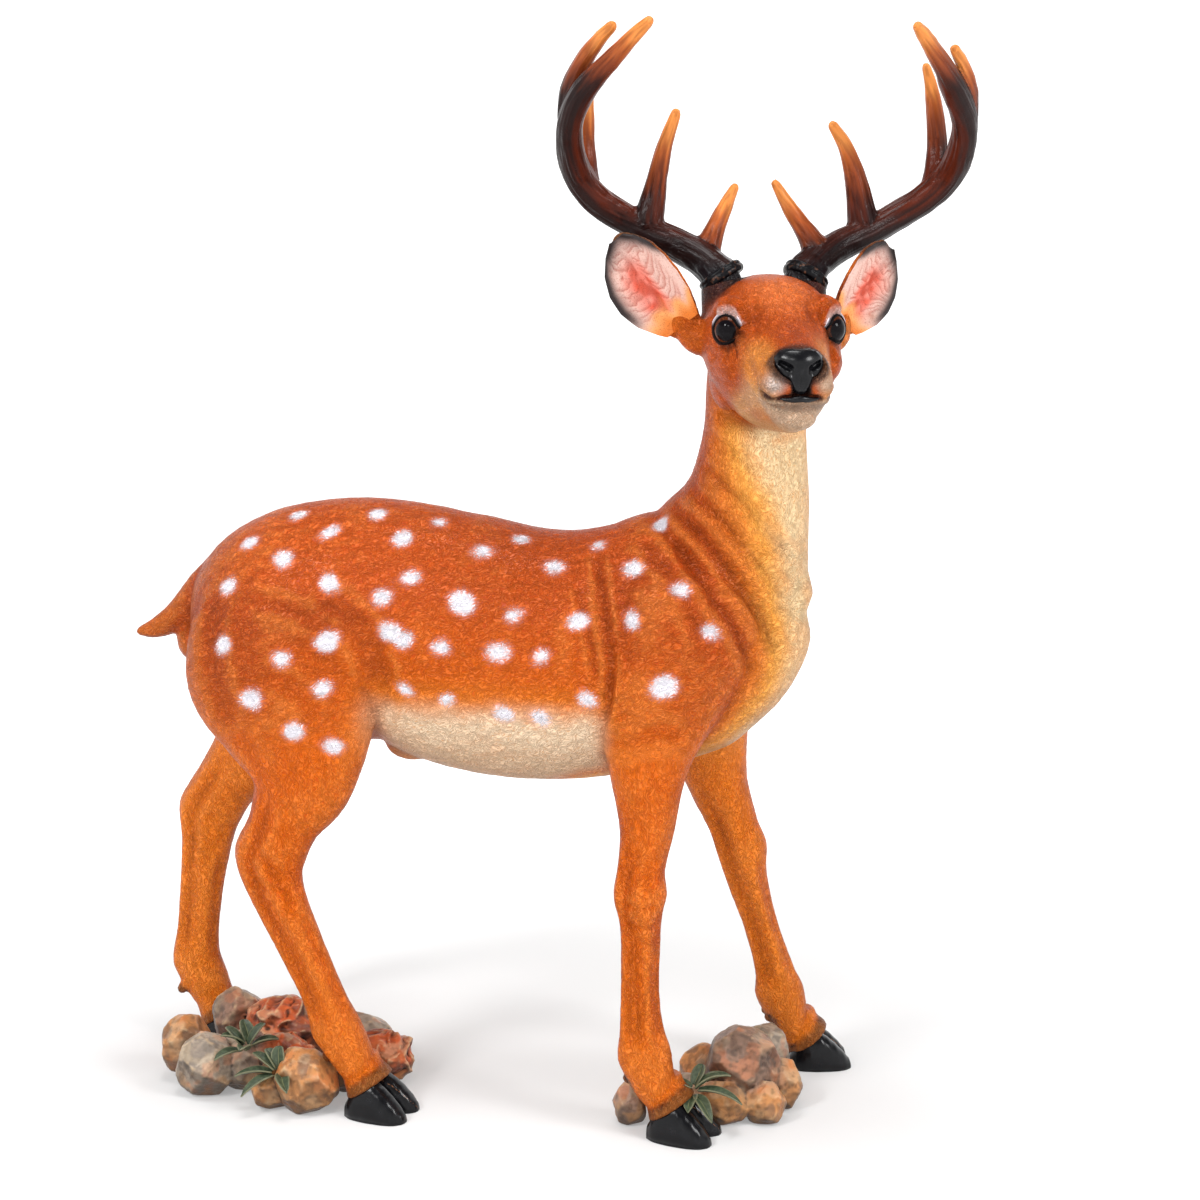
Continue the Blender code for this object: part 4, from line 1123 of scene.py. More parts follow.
def paint_skin(obj):
    """The colour of each point of the skin, from its place, and the fields that steer the strokes."""
    settings = bpy.context.scene.stag_coat
    mesh = obj.data
    points, normals = read(mesh, "co"), read(mesh, "normal")
    x, y, z = points.T
    placed = to_head(points)
    forward, left, up = placed.T
    ahead = left - MUZZLE_SWAY * np.maximum(0, forward)
    legs, neck, head = leg_share(points), neck_share(points), head_share(placed)
    slow = lattice_noise(points / 60, 21)
    quick = lattice_noise(points / 16, 22)

    paint = Paint(len(points), settings.flank)
    paint.lay(settings.back, ease(z + 26 * slow, 430, 545))
    paint.lay(tone(178, 74, 16), neck)
    paint.lay(settings.leg, ease(z + 10 * quick, 420, 350))
    paint.lay(tone(228, 118, 22), 0.4 * ease(z + 12 * slow, 230, 90))
    # painted light: the legs lighter orange on the faces that turn in towards the deer's middle
    painted_light_inner_legs = ease(normals[:, 1] * np.sign(y), 0.1, -0.5)
    paint.lay(tone(232, 124, 28), 0.8 * legs * painted_light_inner_legs)
    # painted shade: the legs darker where they turn forward or back, at their edges seen from the side,
    # broken up by noise
    edges = ease(np.abs(normals[:, 0]), 0.55, 0.95) * ease(quick, -0.9, 0.2)
    paint.lay(tone(166, 66, 6), 0.55 * legs * edges)

    # painted shade over the rounded forms, the same on both sides
    for centre, halves, share in PAINTED_SHADE_PATCHES:
        mirror = np.stack([x, -np.abs(y), z], axis=1)
        paint.lay(tone(150, 58, 16), share * round_share(mirror + 6 * quick[:, None], centre, halves, 0.8))
    trunk = (1 - legs) * (1 - head)
    belly = ease(z + 5 * quick, 424, 388) * ease(x, -226, -180) * ease(x, 34, 0) * trunk * ease(z, 290, 330)
    warm = ease(z + 6 * slow, 446, 404) * ease(x, -236, -190) * ease(x, 46, 6) * trunk
    paint.lay(tone(232, 128, 34), 0.85 * warm)
    paint.lay(settings.cream, belly)
    # painted shade: the cream belly darker where it faces down
    paint.lay(tone(190, 152, 116), 0.5 * belly * ease(normals[:, 2], -0.3, -0.85))
    inner = ease(normals[:, 1] * np.sign(y), -0.05, -0.5) * ease(z, 330, 390) * ease(z, 440, 410)
    paint.lay(tone(222, 166, 104), 0.6 * inner)

    away, place = from_line(points, smooth_line(np.array(THROAT_LINE, float), 6), 120)
    away = np.where(np.isfinite(away), away, 500)
    throat_width = np.interp(place, (0, 0.2, 0.45, 0.7, 1), (38, 49, 51, 40, 30))
    edge = away / throat_width + 0.06 * quick + 0.05 * slow
    paint.lay(tone(222, 124, 38), 0.85 * ease(edge, 2.0, 1.2))
    paint.lay(tone(244, 172, 76), 0.9 * ease(edge, 1.5, 0.95))
    paint.lay(tone(234, 204, 158), ease(edge, 1.1, 0.4))

    # the face
    face = np.stack([forward, np.abs(ahead), up], axis=1)
    paint.lay(tone(184, 78, 14), head)
    paint.lay(tone(222, 118, 60), 0.75 * head * round_share(face, (20, 0, 42), (46, 26, 26), 0.7))
    paint.lay(tone(140, 52, 12), 0.6 * head * round_share(face, (44, 24, 14), (20, 9, 14), 0.8))
    paint.lay(tone(160, 62, 18), 0.65 * head * round_share(face, (74, 0, 0), (30, 13, 14), 0.8))
    muzzle = head * ease(np.abs(ahead), 12, 24) * ease(forward, 30, 66) * ease(up, 2, -16)
    paint.lay(tone(218, 138, 60), 0.85 * muzzle)
    segment = np.array(((94, 27, -52), (56, 34, -56), (14, 34, -70)), float)
    from_jaw, _ = from_line(face, smooth_line(segment, 4), 40)
    from_jaw = np.where(np.isfinite(from_jaw), from_jaw, 99)
    paint.lay(tone(212, 162, 106), 0.8 * head * ease(from_jaw + 3 * quick, 22, 4))
    under = head * ease(up, -66, -80) * ease(forward, -40, 0)
    paint.lay(tone(214, 172, 124), 0.8 * under)
    chin = head * ease(up, -49, -55) * ease(forward, 70, 88)
    paint.lay(tone(198, 172, 146), 0.9 * chin)
    paint.lay(tone(92, 74, 66), 0.55 * head * ease(np.abs(up + 58), 7, 1) * ease(forward, 94, 104))
    puff = round_share(face, (105, 19, -38), (11.5, 9.5, 10), 0.5)
    paint.lay(tone(196, 184, 178), puff * ease(ahead, 4, -4))
    paint.lay(tone(206, 176, 152), puff * ease(ahead, -4, 4))
    shade = round_share(face, (96, 29, -46), (12, 7, 10), 0.7)
    paint.lay(tone(120, 90, 74), 0.45 * shade)
    mouth = smooth_line(np.array(MOUTH_LINE, float), 6)
    from_mouth, _ = from_line(face, mouth, 16)
    from_mouth = np.where(np.isfinite(from_mouth), from_mouth, 99)
    paint.lay(tone(20, 16, 17), ease(from_mouth, 4.6, 1.8) * ease(forward, 84, 96))
    nose = np.array(NOSE_MIDDLE)
    pad = np.sqrt(((left - nose[1]) / 24.5) ** 2 + ((up - nose[2] - 1) / 16.5) ** 2)
    stem = np.maximum(np.abs(left - nose[1]) - 6, 0) + np.maximum(np.abs(up + 38) - 10, 0)
    paint.lay(tone(32, 24, 24), 0.9 * ease(pad, 1.25, 0.95) * ease(forward, 88, 100))
    paint.lay(tone(24, 20, 22), ease(stem, 5.0, 1.5) * ease(forward, 102, 108))

    for side in (-1, 1):
        reach, beyond, turn = eye_polar(placed, side)
        near = ease(reach, 23, 19)
        brow = ease(np.sin(turn), 0.3, 0.6) * ease(beyond, 23, 17) * ease(beyond, 4, 8)
        paint.lay(tone(216, 196, 194), 0.75 * brow * ease(reach, 24, 19))
        paint.lay(tone(30, 18, 16), near * ease(beyond, 13, 8) * ease(np.sin(turn), 0.35, -0.1))
        paint.lay(tone(130, 52, 14), 0.25 * near * ease(beyond, 26, 12) * ease(np.sin(turn), 0.1, -0.3))
        collar = np.linalg.norm(placed - on_side(BURR_PLACE, side), axis=1)
        paint.lay(tone(34, 26, 28), ease(collar, 33, 25))
        paint.lay(tone(70, 36, 34), 0.7 * ease(collar + 6 * quick, 50, 30) * ease(left * side, 30, 44))
        root, tip = on_side(EAR_ROOT, side), on_side(EAR_TIPS[side], side)
        share = (placed - root) @ (tip - root) / ((tip - root) @ (tip - root))
        around = ease(np.linalg.norm(placed - root, axis=1), 40, 14) * ease(left * side, 50, 62)
        paint.lay(EAR_ROOT_TONES[side], 0.75 * around)
        on_ear = ease(left * side, 66, 74) * ease(share, 0.1, 0.25) * (np.abs(forward) < 110)
        paint.lay(tone(216, 112, 34), 0.8 * on_ear)
        paint.lay(tone(58, 46, 44), on_ear * ease(share + 0.12 * quick, 0.5, 0.95))
        paint.lay(tone(44, 34, 34), on_ear * ease(left * side, 104, 118) * ease(share, 0.25, 0.5))
        rear = on_ear * ease(normals @ HEAD[:, 0], 0.1, -0.4)
        paint.lay(tone(120, 62, 44), 0.6 * rear)

    # the feet
    for hoof in HOOVES:
        ahead_hoof, side_hoof, height = to_hoof(hoof, points).T
        near = (np.abs(ahead_hoof) < 60) & (np.abs(side_hoof) < 34) & (height < 80)
        edge = height - (25 + (ahead_hoof + 11) * 0.78)
        paint.lay(tone(40, 18, 12), near * ease(edge + 2 * quick, 19, 11) * 0.95)
        spur = np.abs(ahead_hoof + 51) + np.maximum(0, height - 55) * 1.5
        paint.lay(tone(52, 26, 20), near * ease(spur, 13, 5))

    # painted shade along the creases of the skin
    lined = crease_share(points)
    paint.lay(settings.crease, 0.42 * lined)
    paint.lay(tone(150, 62, 14), 0.5 * ease(x, -384, -420) * ease(z, 400, 430))
    sheath = round_share(points, (-184, -6, 348), (34, 22, 22), 0.4)
    paint.lay(tone(196, 116, 52), 0.7 * sheath)
    # painted shade in the hollows of the skin and painted highlight on its ridges, by how far each point
    # lies below the evened skin
    dark = np.clip(hollows(obj, 40) / 1.5, -1, 1)
    paint.lay(settings.crease, 0.32 * ease(dark, 0.15, 0.9) * (1 - 0.4 * head))
    paint.lay(tone(246, 150, 66), 0.25 * ease(dark, -0.2, -0.9) * (1 - head))
    # painted shade on the faces that turn down, away from the belly and head
    paint.lay(settings.crease, 0.3 * ease(normals[:, 2], -0.2, -0.9) * (1 - belly) * (1 - head))
    write_field(mesh, "paint", paint.colour)
    write_field(mesh, "spot", spot_field(points) + 3.0 * quick)
    write_field(mesh, "flow_down", np.clip(legs + neck, 0, 1))
    write_field(mesh, "flow_head", head)


class STAG_OT_coat(bpy.types.Operator):
    """Builds the skin of the whole deer, with its muscles, folds, spots and fur"""

    bl_idname = "stag.coat"
    bl_label = "Coat"

    def execute(self, context):
        settings = context.scene.stag_coat
        voxel = settings.voxel / MM * 1
        forms = [skin(limb(TORSO, 56)), skin(limb(NECK, 44)), skin(limb(TAIL, 28))]
        forms += [skin(limb(leg, 36)) for leg in LEGS]
        forms += head_forms()
        forms.append(skin(blob((-184, -6, 355), (28, 14, 18))))
        for hoof in HOOVES:
            forms.append(cuff_form(hoof))
            forms += [dewclaw_form(hoof, side) for side in (-1, 1)]
        coat = object_from("deer_coat", joined(forms))
        mesh = melt(coat, voxel)
        points = read(mesh, "co")
        placed = to_head(points)
        crisp = np.maximum(head_share(placed) * 0.75, ease(points[:, 2], 92, 66) * 0.8)
        soften(coat, 46, 1 - crisp)
        sculpt_skin(coat)
        points = read(coat.data, "co")
        dense = head_share(to_head(points))
        thin_out(coat, settings.triangles, 1 - 0.6 * dense)
        paint_skin(coat)
        finish_piece(coat, coat_finish(settings), ("deer",))
        return {"FINISHED"}


class STAG_OT_hooves(bpy.types.Operator):
    """Builds the eight glossy claws and the dewclaw tips"""

    bl_idname = "stag.hooves"
    bl_label = "Hooves"

    def execute(self, context):
        forms = [self.claw(hoof, side) for hoof in HOOVES for side in (-1, 1)]
        piece = object_from("hooves", joined([form for form, _ in forms]))
        write_field(piece.data, "worn", np.concatenate([worn for _, worn in forms]))
        finish_piece(piece, self.finish(tuple(context.scene.stag_horn.black)))
        return {"FINISHED"}

    def finish(self, black):
        """Black lacquer, rubbed through to tan along the edges that stand out."""
        made = Finish("black hoof lacquer", 0.22, Specular_IOR_Level=0.24)
        wave = made.noise(made.place, 90, 2)
        chips = made.noise(made.place, 420, 3)
        ragged = made.calc("MULTIPLY", made.calc("SUBTRACT", chips, 0.5), 0.9)
        rubbed = made.calc("ADD", made.field("worn"), ragged)
        colour = made.mix(made.span(wave, 0.4, 0.75), black, tuple(1.6 * c + 0.002 for c in black))
        colour = made.mix(made.span(rubbed, 0.72, 0.95, 0.0, 0.75), colour, tone(150, 104, 76))
        return made.done(colour, made.bump(wave, 0.0006, 0.4))

    def claw(self, hoof, side):
        """Sections heel to toe: half width · |cos a|^0.8, height · |sin a|^0.85, flat below."""
        rows = smooth_line(CLAW, 8)
        close = rows[-1] + np.array((1.2, -3.5, -5.0))
        rows = np.vstack([rows, close])
        forward, half, height = (rows[:, k, None] for k in range(3))
        turn = np.linspace(0, 2 * np.pi, 40, endpoint=False)[None]
        c, s = np.cos(turn), np.sin(turn)
        rise = np.maximum(0, s)
        wide = np.sign(c) * np.abs(c) ** 0.8 * half * (1 + 0.1 * (1 - rise))
        # the two claws of a hoof face each other with flatter walls
        wide = np.where(wide * side < 0, wide * 0.86, wide)
        tall = height * rise**0.85 + 0.4
        growth = 0.2 * np.sin(0.9 * forward + 1.6 * rise) * (rise > 0.1)
        lean = -0.1 * height * rise
        points = np.stack([forward + lean + 0 * wide, side * CLAW_HALF_GAP + wide, tall + growth], axis=-1)
        sole = np.exp(-(((tall - 1.6) / 1.0) ** 2)) * ease(forward, -24, -8)
        gap = np.exp(-(((np.degrees(np.arctan2(s, -c * side)) - 52) / 7) ** 2)) * ease(forward, -12, 8)
        worn = (0.85 * sole + 0.9 * gap + 0 * wide).ravel()
        return skin(hoof_place(hoof, points, side * CLAW_SPLAY)), np.concatenate([worn, (0.0, 0.0)])


class STAG_OT_face(bpy.types.Operator):
    """Builds the nose pad, the mouth and the eyelids"""

    bl_idname = "stag.face"
    bl_label = "Nose, mouth and lids"

    def execute(self, context):
        horn = context.scene.stag_horn
        finish_piece(object_from("nose_pad", self.nose()), gloss_black(horn, "black nose lacquer"))
        finish_piece(object_from("mouth", self.mouth()), gloss_black(horn, "black mouth lacquer"))
        lids = object_from("eyelids", joined([self.lids(side) for side in (-1, 1)]))
        paint = np.vstack([self.lid_paint(), self.lid_paint()])
        write_field(lids.data, "paint", paint)
        made = Finish("painted eyelids", 0.5, Specular_IOR_Level=0.05)
        fine = made.noise(made.place, 500, 2)
        specks, paint = made.span(fine, 0.4, 0.7, 0.0, 0.25), made.field("paint", "Color")
        tinted = made.mix(specks, paint, (0.02, 0.015, 0.015))
        finish_piece(lids, made.done(tinted, made.bump(fine, 0.0003, 0.4)))
        return {"FINISHED"}

    def nose(self):
        """A dome, 2.6 − 9.5 (x/20)² − 7.5 ((z−2)/13)² forward of the pad, pressed in at the nostrils."""
        half = np.array(NOSE_OUTLINE, float)
        outline = np.vstack([half, (half * (-1, 1))[::-1][:-1], half[:1]])
        outline = smooth_line(outline, 8)[:-1]
        share = np.concatenate([np.linspace(0.03, 0.9, 34), np.linspace(0.92, 1.0, 10)])[:, None]
        x = outline[None, :, 0] * share
        z = 1.0 + (outline[None, :, 1] - 1.0) * share
        ahead = 2.6 - 9.5 * (x / 20) ** 2 - 7.5 * np.maximum(0, (z - 2) / 13) ** 2
        ahead -= 1.2 * np.maximum(0, (-z - 8) / 14)
        ahead -= 4.2 * np.maximum(0, (share - 0.84) / 0.16) ** 2
        for side in (-1, 1):
            out = side * x
            along = (out - 13.0) * math.cos(NOSTRIL_TILT) + (z - 0.5) * math.sin(NOSTRIL_TILT)
            across = -(out - 13.0) * math.sin(NOSTRIL_TILT) + (z - 0.5) * math.cos(NOSTRIL_TILT)
            ahead -= 7.5 * np.exp(-((along / 5.4) ** 2) ** 1.5 - ((across / 2.2) ** 2) ** 1.5)
            tail = np.hypot(out - 9.2, (z + 5.6) * 0.8)
            ahead -= 2.6 * np.exp(-((tail / 3.4) ** 2))
        ahead -= 1.3 * np.exp(-((x / 1.4) ** 2)) * ease(z, -2, -9)
        rise = NOSE_MIDDLE[2] + z
        rings = np.stack([NOSE_MIDDLE[0] + ahead, NOSE_MIDDLE[1] + x, rise], axis=-1)
        back = rings[-1:] - np.array((7.0, 0, 0))
        return skin(from_head(np.concatenate([rings, back])))

    def mouth(self):
        """A dark lens carried along the lips, 2.5 mm in half height, thinning to 0.5 mm at the corners."""
        half = np.array(MOUTH_LINE[2:], float)
        whole = np.vstack([half, (half * (1, -1, 1))[::-1][1:]])
        line = smooth_line(whole, 8)
        line[:, 1] += MUZZLE_SWAY * np.maximum(0, line[:, 0])
        along = unit(np.gradient(line, axis=0))
        run = np.linspace(-1, 1, len(line))
        tall = 0.5 + 2.0 * ease(np.abs(run), 1.0, 0.3)
        out = unit(line - np.array((70.0, -3.0, -50.0))) * (1, 1, 0.15)
        out = unit(out - along * (out * along).sum(axis=1, keepdims=True))
        rise = np.cross(along, out)
        turn = np.linspace(0, 2 * np.pi, 20, endpoint=False)[None, :, None]
        drop = np.array((0, 0, -1.0)) * tall[:, None]
        rings = (line + drop - out * 0.9)[:, None] + out[:, None] * 1.7 * np.cos(turn)
        rings = rings + rise[:, None] * tall[:, None, None] * np.sin(turn)
        return skin(from_head(rings))

    TURNS, STEPS = 120, 26

    def lid_grid(self):
        """Turn round the eye, and degrees beyond the lid's edge."""
        turn = np.linspace(0, 2 * np.pi, self.TURNS, endpoint=False)
        beyond = np.linspace(-4, 21, self.STEPS)
        return np.meshgrid(beyond, turn, indexing="ij")

    def lids(self, side):
        """A band 0.2 mm off the ball: a roll at the edge, a groove behind it and a second soft roll."""
        beyond, turn = self.lid_grid()
        centre, out, corner, rise = eye_axes(side)
        upper = ease(np.sin(turn), -0.2, 0.5)
        radius = EYE_RADIUS + 0.2 + 1.0 * np.exp(-(((beyond - 1.0) / 2.6) ** 2))
        groove = np.exp(-(((beyond - 9) / 1.6) ** 2)) * (0.3 + 0.7 * upper)
        radius += 0.5 * ease(beyond, 4, 8) - 0.7 * groove
        radius += (0.6 + 0.7 * upper) * np.exp(-(((beyond - 13) / 3.2) ** 2)) + 0.8 * ease(beyond, 8, 14)
        radius -= 2.5 * ease(beyond, 16, 21) + 1.2 * ease(beyond, -2, -4)
        angle = np.radians(lid_edge(turn, side) + beyond)[..., None]
        turn = turn[..., None]
        ways = np.cos(angle) * out + np.sin(angle) * (np.cos(turn) * corner + np.sin(turn) * rise)
        points, quads, _ = skin(from_head(centre + ways * radius[..., None]))
        count = self.TURNS * self.STEPS
        return points[:count], quads, np.empty((0, 3), int)

    def lid_paint(self):
        """Black at the lid's edge, then a pale roll, a dark groove and a white brow above the eye."""
        beyond, turn = (grid.ravel() for grid in self.lid_grid())
        upper = ease(np.sin(turn), 0.0, 0.4)
        paint = Paint(len(beyond), tone(8, 6, 7))
        light = ease(beyond, 6.5, 8) * upper
        paint.lay(tone(196, 186, 192), 0.85 * light)
        paint.lay(tone(30, 24, 28), np.exp(-(((beyond - 9) / 1.6) ** 2)) * upper)
        paint.lay(tone(226, 214, 222), ease(beyond, 11, 14) * upper)
        paint.lay(tone(60, 36, 30), ease(beyond, 6, 14) * (1 - upper))
        return paint.colour


class STAG_OT_eyes(bpy.types.Operator):
    """Builds the two glass eyes"""

    bl_idname = "stag.eyes"
    bl_label = "Eyes"

    def execute(self, context):
        iris = tuple(context.scene.stag_horn.iris)
        made = Finish("glass eye", 0.03, Specular_IOR_Level=0.09)
        gaze = made.field("gaze")
        fibres = made.noise(made.place, 900, 2)
        dark, light = (tuple(share * c for c in iris) for share in (0.15, 0.6))
        brown = made.mix(made.span(fibres, 0.3, 0.7), dark, light)
        ring = made.calc("MULTIPLY", made.span(gaze, 36, 43), made.span(gaze, 60, 50))
        colour = made.mix(ring, (0.004, 0.003, 0.004), brown)
        glass = made.done(colour)
        for side, name in ((-1, "right_eye"), (1, "left_eye")):
            centre = on_side(EYE_PLACE, side)
            ball = blob((0, 0, 0), (1, 1, 1), 48, 72)
            look = unit(on_side(GAZE, side))
            cornea = ball @ look
            grown = ball * (EYE_RADIUS * (1 + 0.012 * ease(cornea, 0.8, 0.97)))[..., None]
            points, quads, ends = skin(grown)
            piece = object_from(name + "_glass", (from_head(centre + points), quads, ends))
            angle = np.degrees(np.arccos(np.clip(unit(points) @ look, -1, 1)))
            write_field(piece.data, "gaze", angle)
            finish_piece(piece, glass, (name,))
        return {"FINISHED"}


class STAG_OT_ears(bpy.types.Operator):
    """Builds the pink linings of the ears, with their combed tufts"""

    bl_idname = "stag.ears"
    bl_label = "Ear linings"

    def execute(self, context):
        made = Finish("painted ear lining", 0.5, Specular_IOR_Level=0.2)
        fine = made.noise(made.warped(made.place, 90, 0.006), 900, 2)
        paint = made.field("paint", "Color")
        colour = made.mix(made.span(fine, 0.3, 0.5), made.times(paint, (0.72, 0.62, 0.6)), paint)
        finish = made.done(colour, made.bump(fine, 0.0002, 0.5))
        for side, name in ((-1, "right_ear_lining"), (1, "left_ear_lining")):
            points, paint = self.lining(side)
            piece = object_from(name, sheet(points))
            write_field(piece.data, "paint", paint)
            thicken(piece, 1.2, -1)
            settle(piece)
            finish_piece(piece, finish)
        return {"FINISHED"}

    def lining(self, side):
        """The ear's inner face, lifted 1.9 mm, with ridges that sweep up from both edges to the middle."""
        shares, reaches = np.linspace(0.06, 0.965, 150), np.linspace(-0.93, 0.93, 84)
        share, reach = np.meshgrid(shares, reaches, indexing="ij")
        flat = np.stack([share.ravel() * 5, reach.ravel() * 3, 0 * share.ravel()], axis=1)
        wander = lattice_noise(flat, 31 + side).reshape(share.shape)
        wander_fine = lattice_noise(flat * 3, 33 + side).reshape(share.shape)
        middle = 0.1 + 0.12 * wander
        away = np.abs(reach - middle)
        sweep = share * 14 - 5.5 * (away - 0.4) ** 2 - 2.2 * away + 1.3 * wander + 0.35 * wander_fine
        saw = sweep - np.floor(sweep)
        uneven = 0.65 + 0.35 * np.sin(2.4 * np.floor(sweep) + 3 * (reach > middle))
        ridge = saw**0.7 * ease(saw, 1.0, 0.78) * uneven
        room = ease(away, 0.03, 0.16) * ease(np.abs(reach), 0.8, 0.58)
        room = room * ease(share, 0.16, 0.3) * ease(share, 0.95, 0.82)
        edge = ease(np.abs(reach), 0.82, 0.93)
        hollow = ease(away, 0.2, 0.0) * ease(share, 0.1, 0.3) * ease(share, 0.9, 0.7)
        roll = np.exp(-(((np.abs(reach) - 0.74) / 0.07) ** 2)) * ease(share, 0.12, 0.3)
        lift = 1.9 + 2.6 * ridge * room - 1.2 * hollow + 0.9 * roll
        lift = lift + 0.4 * wander_fine * room - 2.2 * edge
        points = from_head(ear_surface(share, reach, side, lift=lift[..., None], thick=EAR_THICKNESS / 2))
        flat_share, flat_reach = share.ravel(), reach.ravel()
        paint = Paint(share.size, tone(216, 178, 166))
        run, wide = flat_share, np.abs(flat_reach)
        wide = np.where(flat_reach > 0, wide, wide * (0.62 + 0.38 * ease(run, 0.5, 0.85)))
        salmon = ease(away.ravel(), 0.5, 0.12) * ease(run, 0.12, 0.26) * ease(run, 0.84, 0.62)
        paint.lay(tone(224, 84, 56), salmon * (0.75 + 0.25 * wander_fine.ravel()))
        paint.lay(tone(150, 52, 34), 0.7 * hollow.ravel() * ease(wander_fine.ravel(), -0.5, 0.4))
        # painted shade in the grooves between the tufts
        groove_shade = ease(ridge.ravel(), 0.4, 0.0) * room.ravel()
        paint.lay(tone(170, 84, 66), 0.6 * groove_shade)
        rim = np.maximum(ease(run + 0.3 * wide**2, 0.78, 1.0), ease(wide, 0.52, 0.86))
        paint.lay(tone(104, 88, 84), 0.85 * rim * ease(run, 0.16, 0.4))
        dark_rim = np.maximum(ease(run + 0.16 * wide**2, 0.88, 1.0), ease(wide, 0.66, 0.86))
        paint.lay(tone(40, 32, 32), dark_rim * ease(run, 0.2, 0.45))
        paint.lay(tone(226, 154, 92), ease(run + 0.08 * wander.ravel(), 0.34, 0.2))
        paint.lay(tone(212, 116, 42), ease(run + 0.04 * wander.ravel(), 0.22, 0.1))
        return points, paint.colour


class STAG_OT_antlers(bpy.types.Operator):
    """Builds the two antlers with their grooves, and the dark collars that they stand in"""

    bl_idname = "stag.antlers"
    bl_label = "Antlers"

    def execute(self, context):
        settings = context.scene.stag_horn
        finish = self.finish()
        for side, node in ((-1, "right_antler"), (1, "left_antler")):
            branches = [self.branch(row, side) for row in ANTLERS[side]]
            forms = [skin(from_head(limb(branch, 28, 6, (0.2, 0.3, 0.93)))) for branch in branches]
            forms.append(self.flare(side))
            piece = object_from(node + "_horn", joined(forms))
            melt(piece, ANTLER_VOXEL[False])
            soften(piece, 26)
            lines = [from_head(smooth_line(np.array(b)[:, :3], 8)) for b in branches]
            radii = [smooth_line(np.array(b)[:, 3:4], 8)[:, 0] for b in branches]
            self.groove(piece, lines, radii, settings.groove_depth / MM)
            thin_out(piece, ANTLER_TRIANGLES)
            self.colour(piece, lines, radii, side, settings)
            finish_piece(piece, finish, (node,))
        collars = joined([self.collar(side) for side in (-1, 1)])
        finish_piece(object_from("burr_collars", collars), self.collar_finish(settings))
        return {"FINISHED"}

    def branch(self, rows, side):
        """A branch's stations as head coordinates and two half sizes."""
        return [(forward, side * outward, up, radius, radius) for outward, forward, up, radius in rows]

    def burr_axes(self, side):
        """The burr's middle, the way the antler leaves it, and two ways square to that."""
        way = unit(on_side(BURR_WAY, side))
        across = unit(np.cross(way, (1, 0, 0)))
        return on_side(BURR_PLACE, side), way, across, np.cross(way, across)

    def flare(self, side):
        """The spreading foot of the beam: radius 16 + 4.6 (1 − t)² above the collar."""
        centre, way, across, deep = self.burr_axes(side)
        t = np.linspace(0, 1, 12)[:, None]
        a = np.linspace(0, 2 * np.pi, 36, endpoint=False)[None]
        radius = (16 + 4.6 * (1 - t) ** 2)[..., None]
        ring = across * np.cos(a)[..., None] + deep * np.sin(a)[..., None]
        drift = np.array((-4.0, side * 3.0, 0.0)) * (t**2)[..., None]
        return skin(from_head(centre + ring * radius + way * (3 + 15 * t)[..., None] + drift))

    def nearest(self, points, lines, radii):
        """Each point on its nearest branch: how far to the tip and from the root, and the offset."""
        best = np.full(len(points), np.inf)
        to_tip, from_root = np.zeros((2, len(points)))
        offset = np.zeros((len(points), 3))
        for line, radius in zip(lines, radii):
            lengths = np.concatenate([[0], np.cumsum(np.linalg.norm(np.diff(line, axis=0), axis=1))])
            away, place = from_line(points, line, 40)
            index, steps = place * (len(line) - 1), np.arange(len(line))
            run = np.interp(index, steps, lengths)
            centre = np.stack([np.interp(index, steps, line[:, k]) for k in range(3)], axis=1)
            score = away / np.interp(index, steps, radius)
            closer = score < best
            best[closer] = score[closer]
            to_tip[closer] = lengths[-1] - run[closer]
            from_root[closer] = run[closer]
            offset[closer] = points[closer] - centre[closer]
        return to_tip, from_root, offset

    def streaks(self, from_root, offset, width, length, seed):
        """Noise drawn out along a branch, at the offset over the width plus the run over the length."""
        place = offset / width
        place[:, 0] += from_root / length
        place[:, 2] += 0.6 * from_root / length
        return lattice_noise(place, seed)

    def groove(self, obj, lines, radii, depth):
        """Moves each point along its normal by lengthwise streaks, which fade towards the tips."""
        points, normals = read(obj.data, "co"), read(obj.data, "normal")
        to_tip, from_root, offset = self.nearest(points, lines, radii)
        fine = self.streaks(from_root, offset, 3.2, 34, 41)
        broad = self.streaks(from_root, offset, 7.5, 70, 42)
        fade = 0.25 + 0.75 * ease(to_tip, 15, 75)
        push = depth * fade * (0.55 * fine + 0.9 * broad - 0.6 * np.maximum(0, -fine) ** 2)
        push += 0.35 * lattice_noise(points / 9, 43)
        write_points(obj.data, points + normals * push[:, None])

    def colour(self, obj, lines, radii, side, settings):
        """Tan at each tip, red-brown along the beam, near-black towards the skull and on the outer side."""
        points, normals = read(obj.data, "co"), read(obj.data, "normal")
        to_tip, from_root, offset = self.nearest(points, lines, radii)
        fine = self.streaks(from_root, offset, 2.4, 40, 44)
        broad = self.streaks(from_root, offset, 6, 60, 45)
        above = to_head(points)[:, 2]
        outer = ease(normals @ HEAD[:, 1] * side - 0.35 * normals[:, 2], -0.35, 0.55)
        paint = Paint(len(points), settings.beam)
        paint.lay(tone(22, 12, 12), 0.9 * outer * ease(to_tip, 30, 90))
        paint.lay(settings.base, ease(above + 12 * broad, 112, 60) * 0.85)
        paint.lay(tone(34, 18, 15), 0.5 * ease(fine + 0.5 * broad, 0.1, 0.7) * ease(to_tip, 20, 60))
        paint.lay(tone(128, 60, 30), 0.85 * ease(to_tip + 10 * fine + 8 * broad, 82, 42))
        paint.lay(tone(168, 88, 42), 0.8 * ease(to_tip + 8 * fine + 6 * broad, 52, 28))
        paint.lay(settings.tip, ease(to_tip + 7 * fine + 5 * broad, 34, 10))
        paint.lay(tone(16, 14, 18), 0.9 * ease(above, 60, 46))
        write_field(obj.data, "paint", paint.colour)
        write_field(obj.data, "streak", 0.5 + 0.5 * self.streaks(from_root, offset, 1.3, 26, 46))

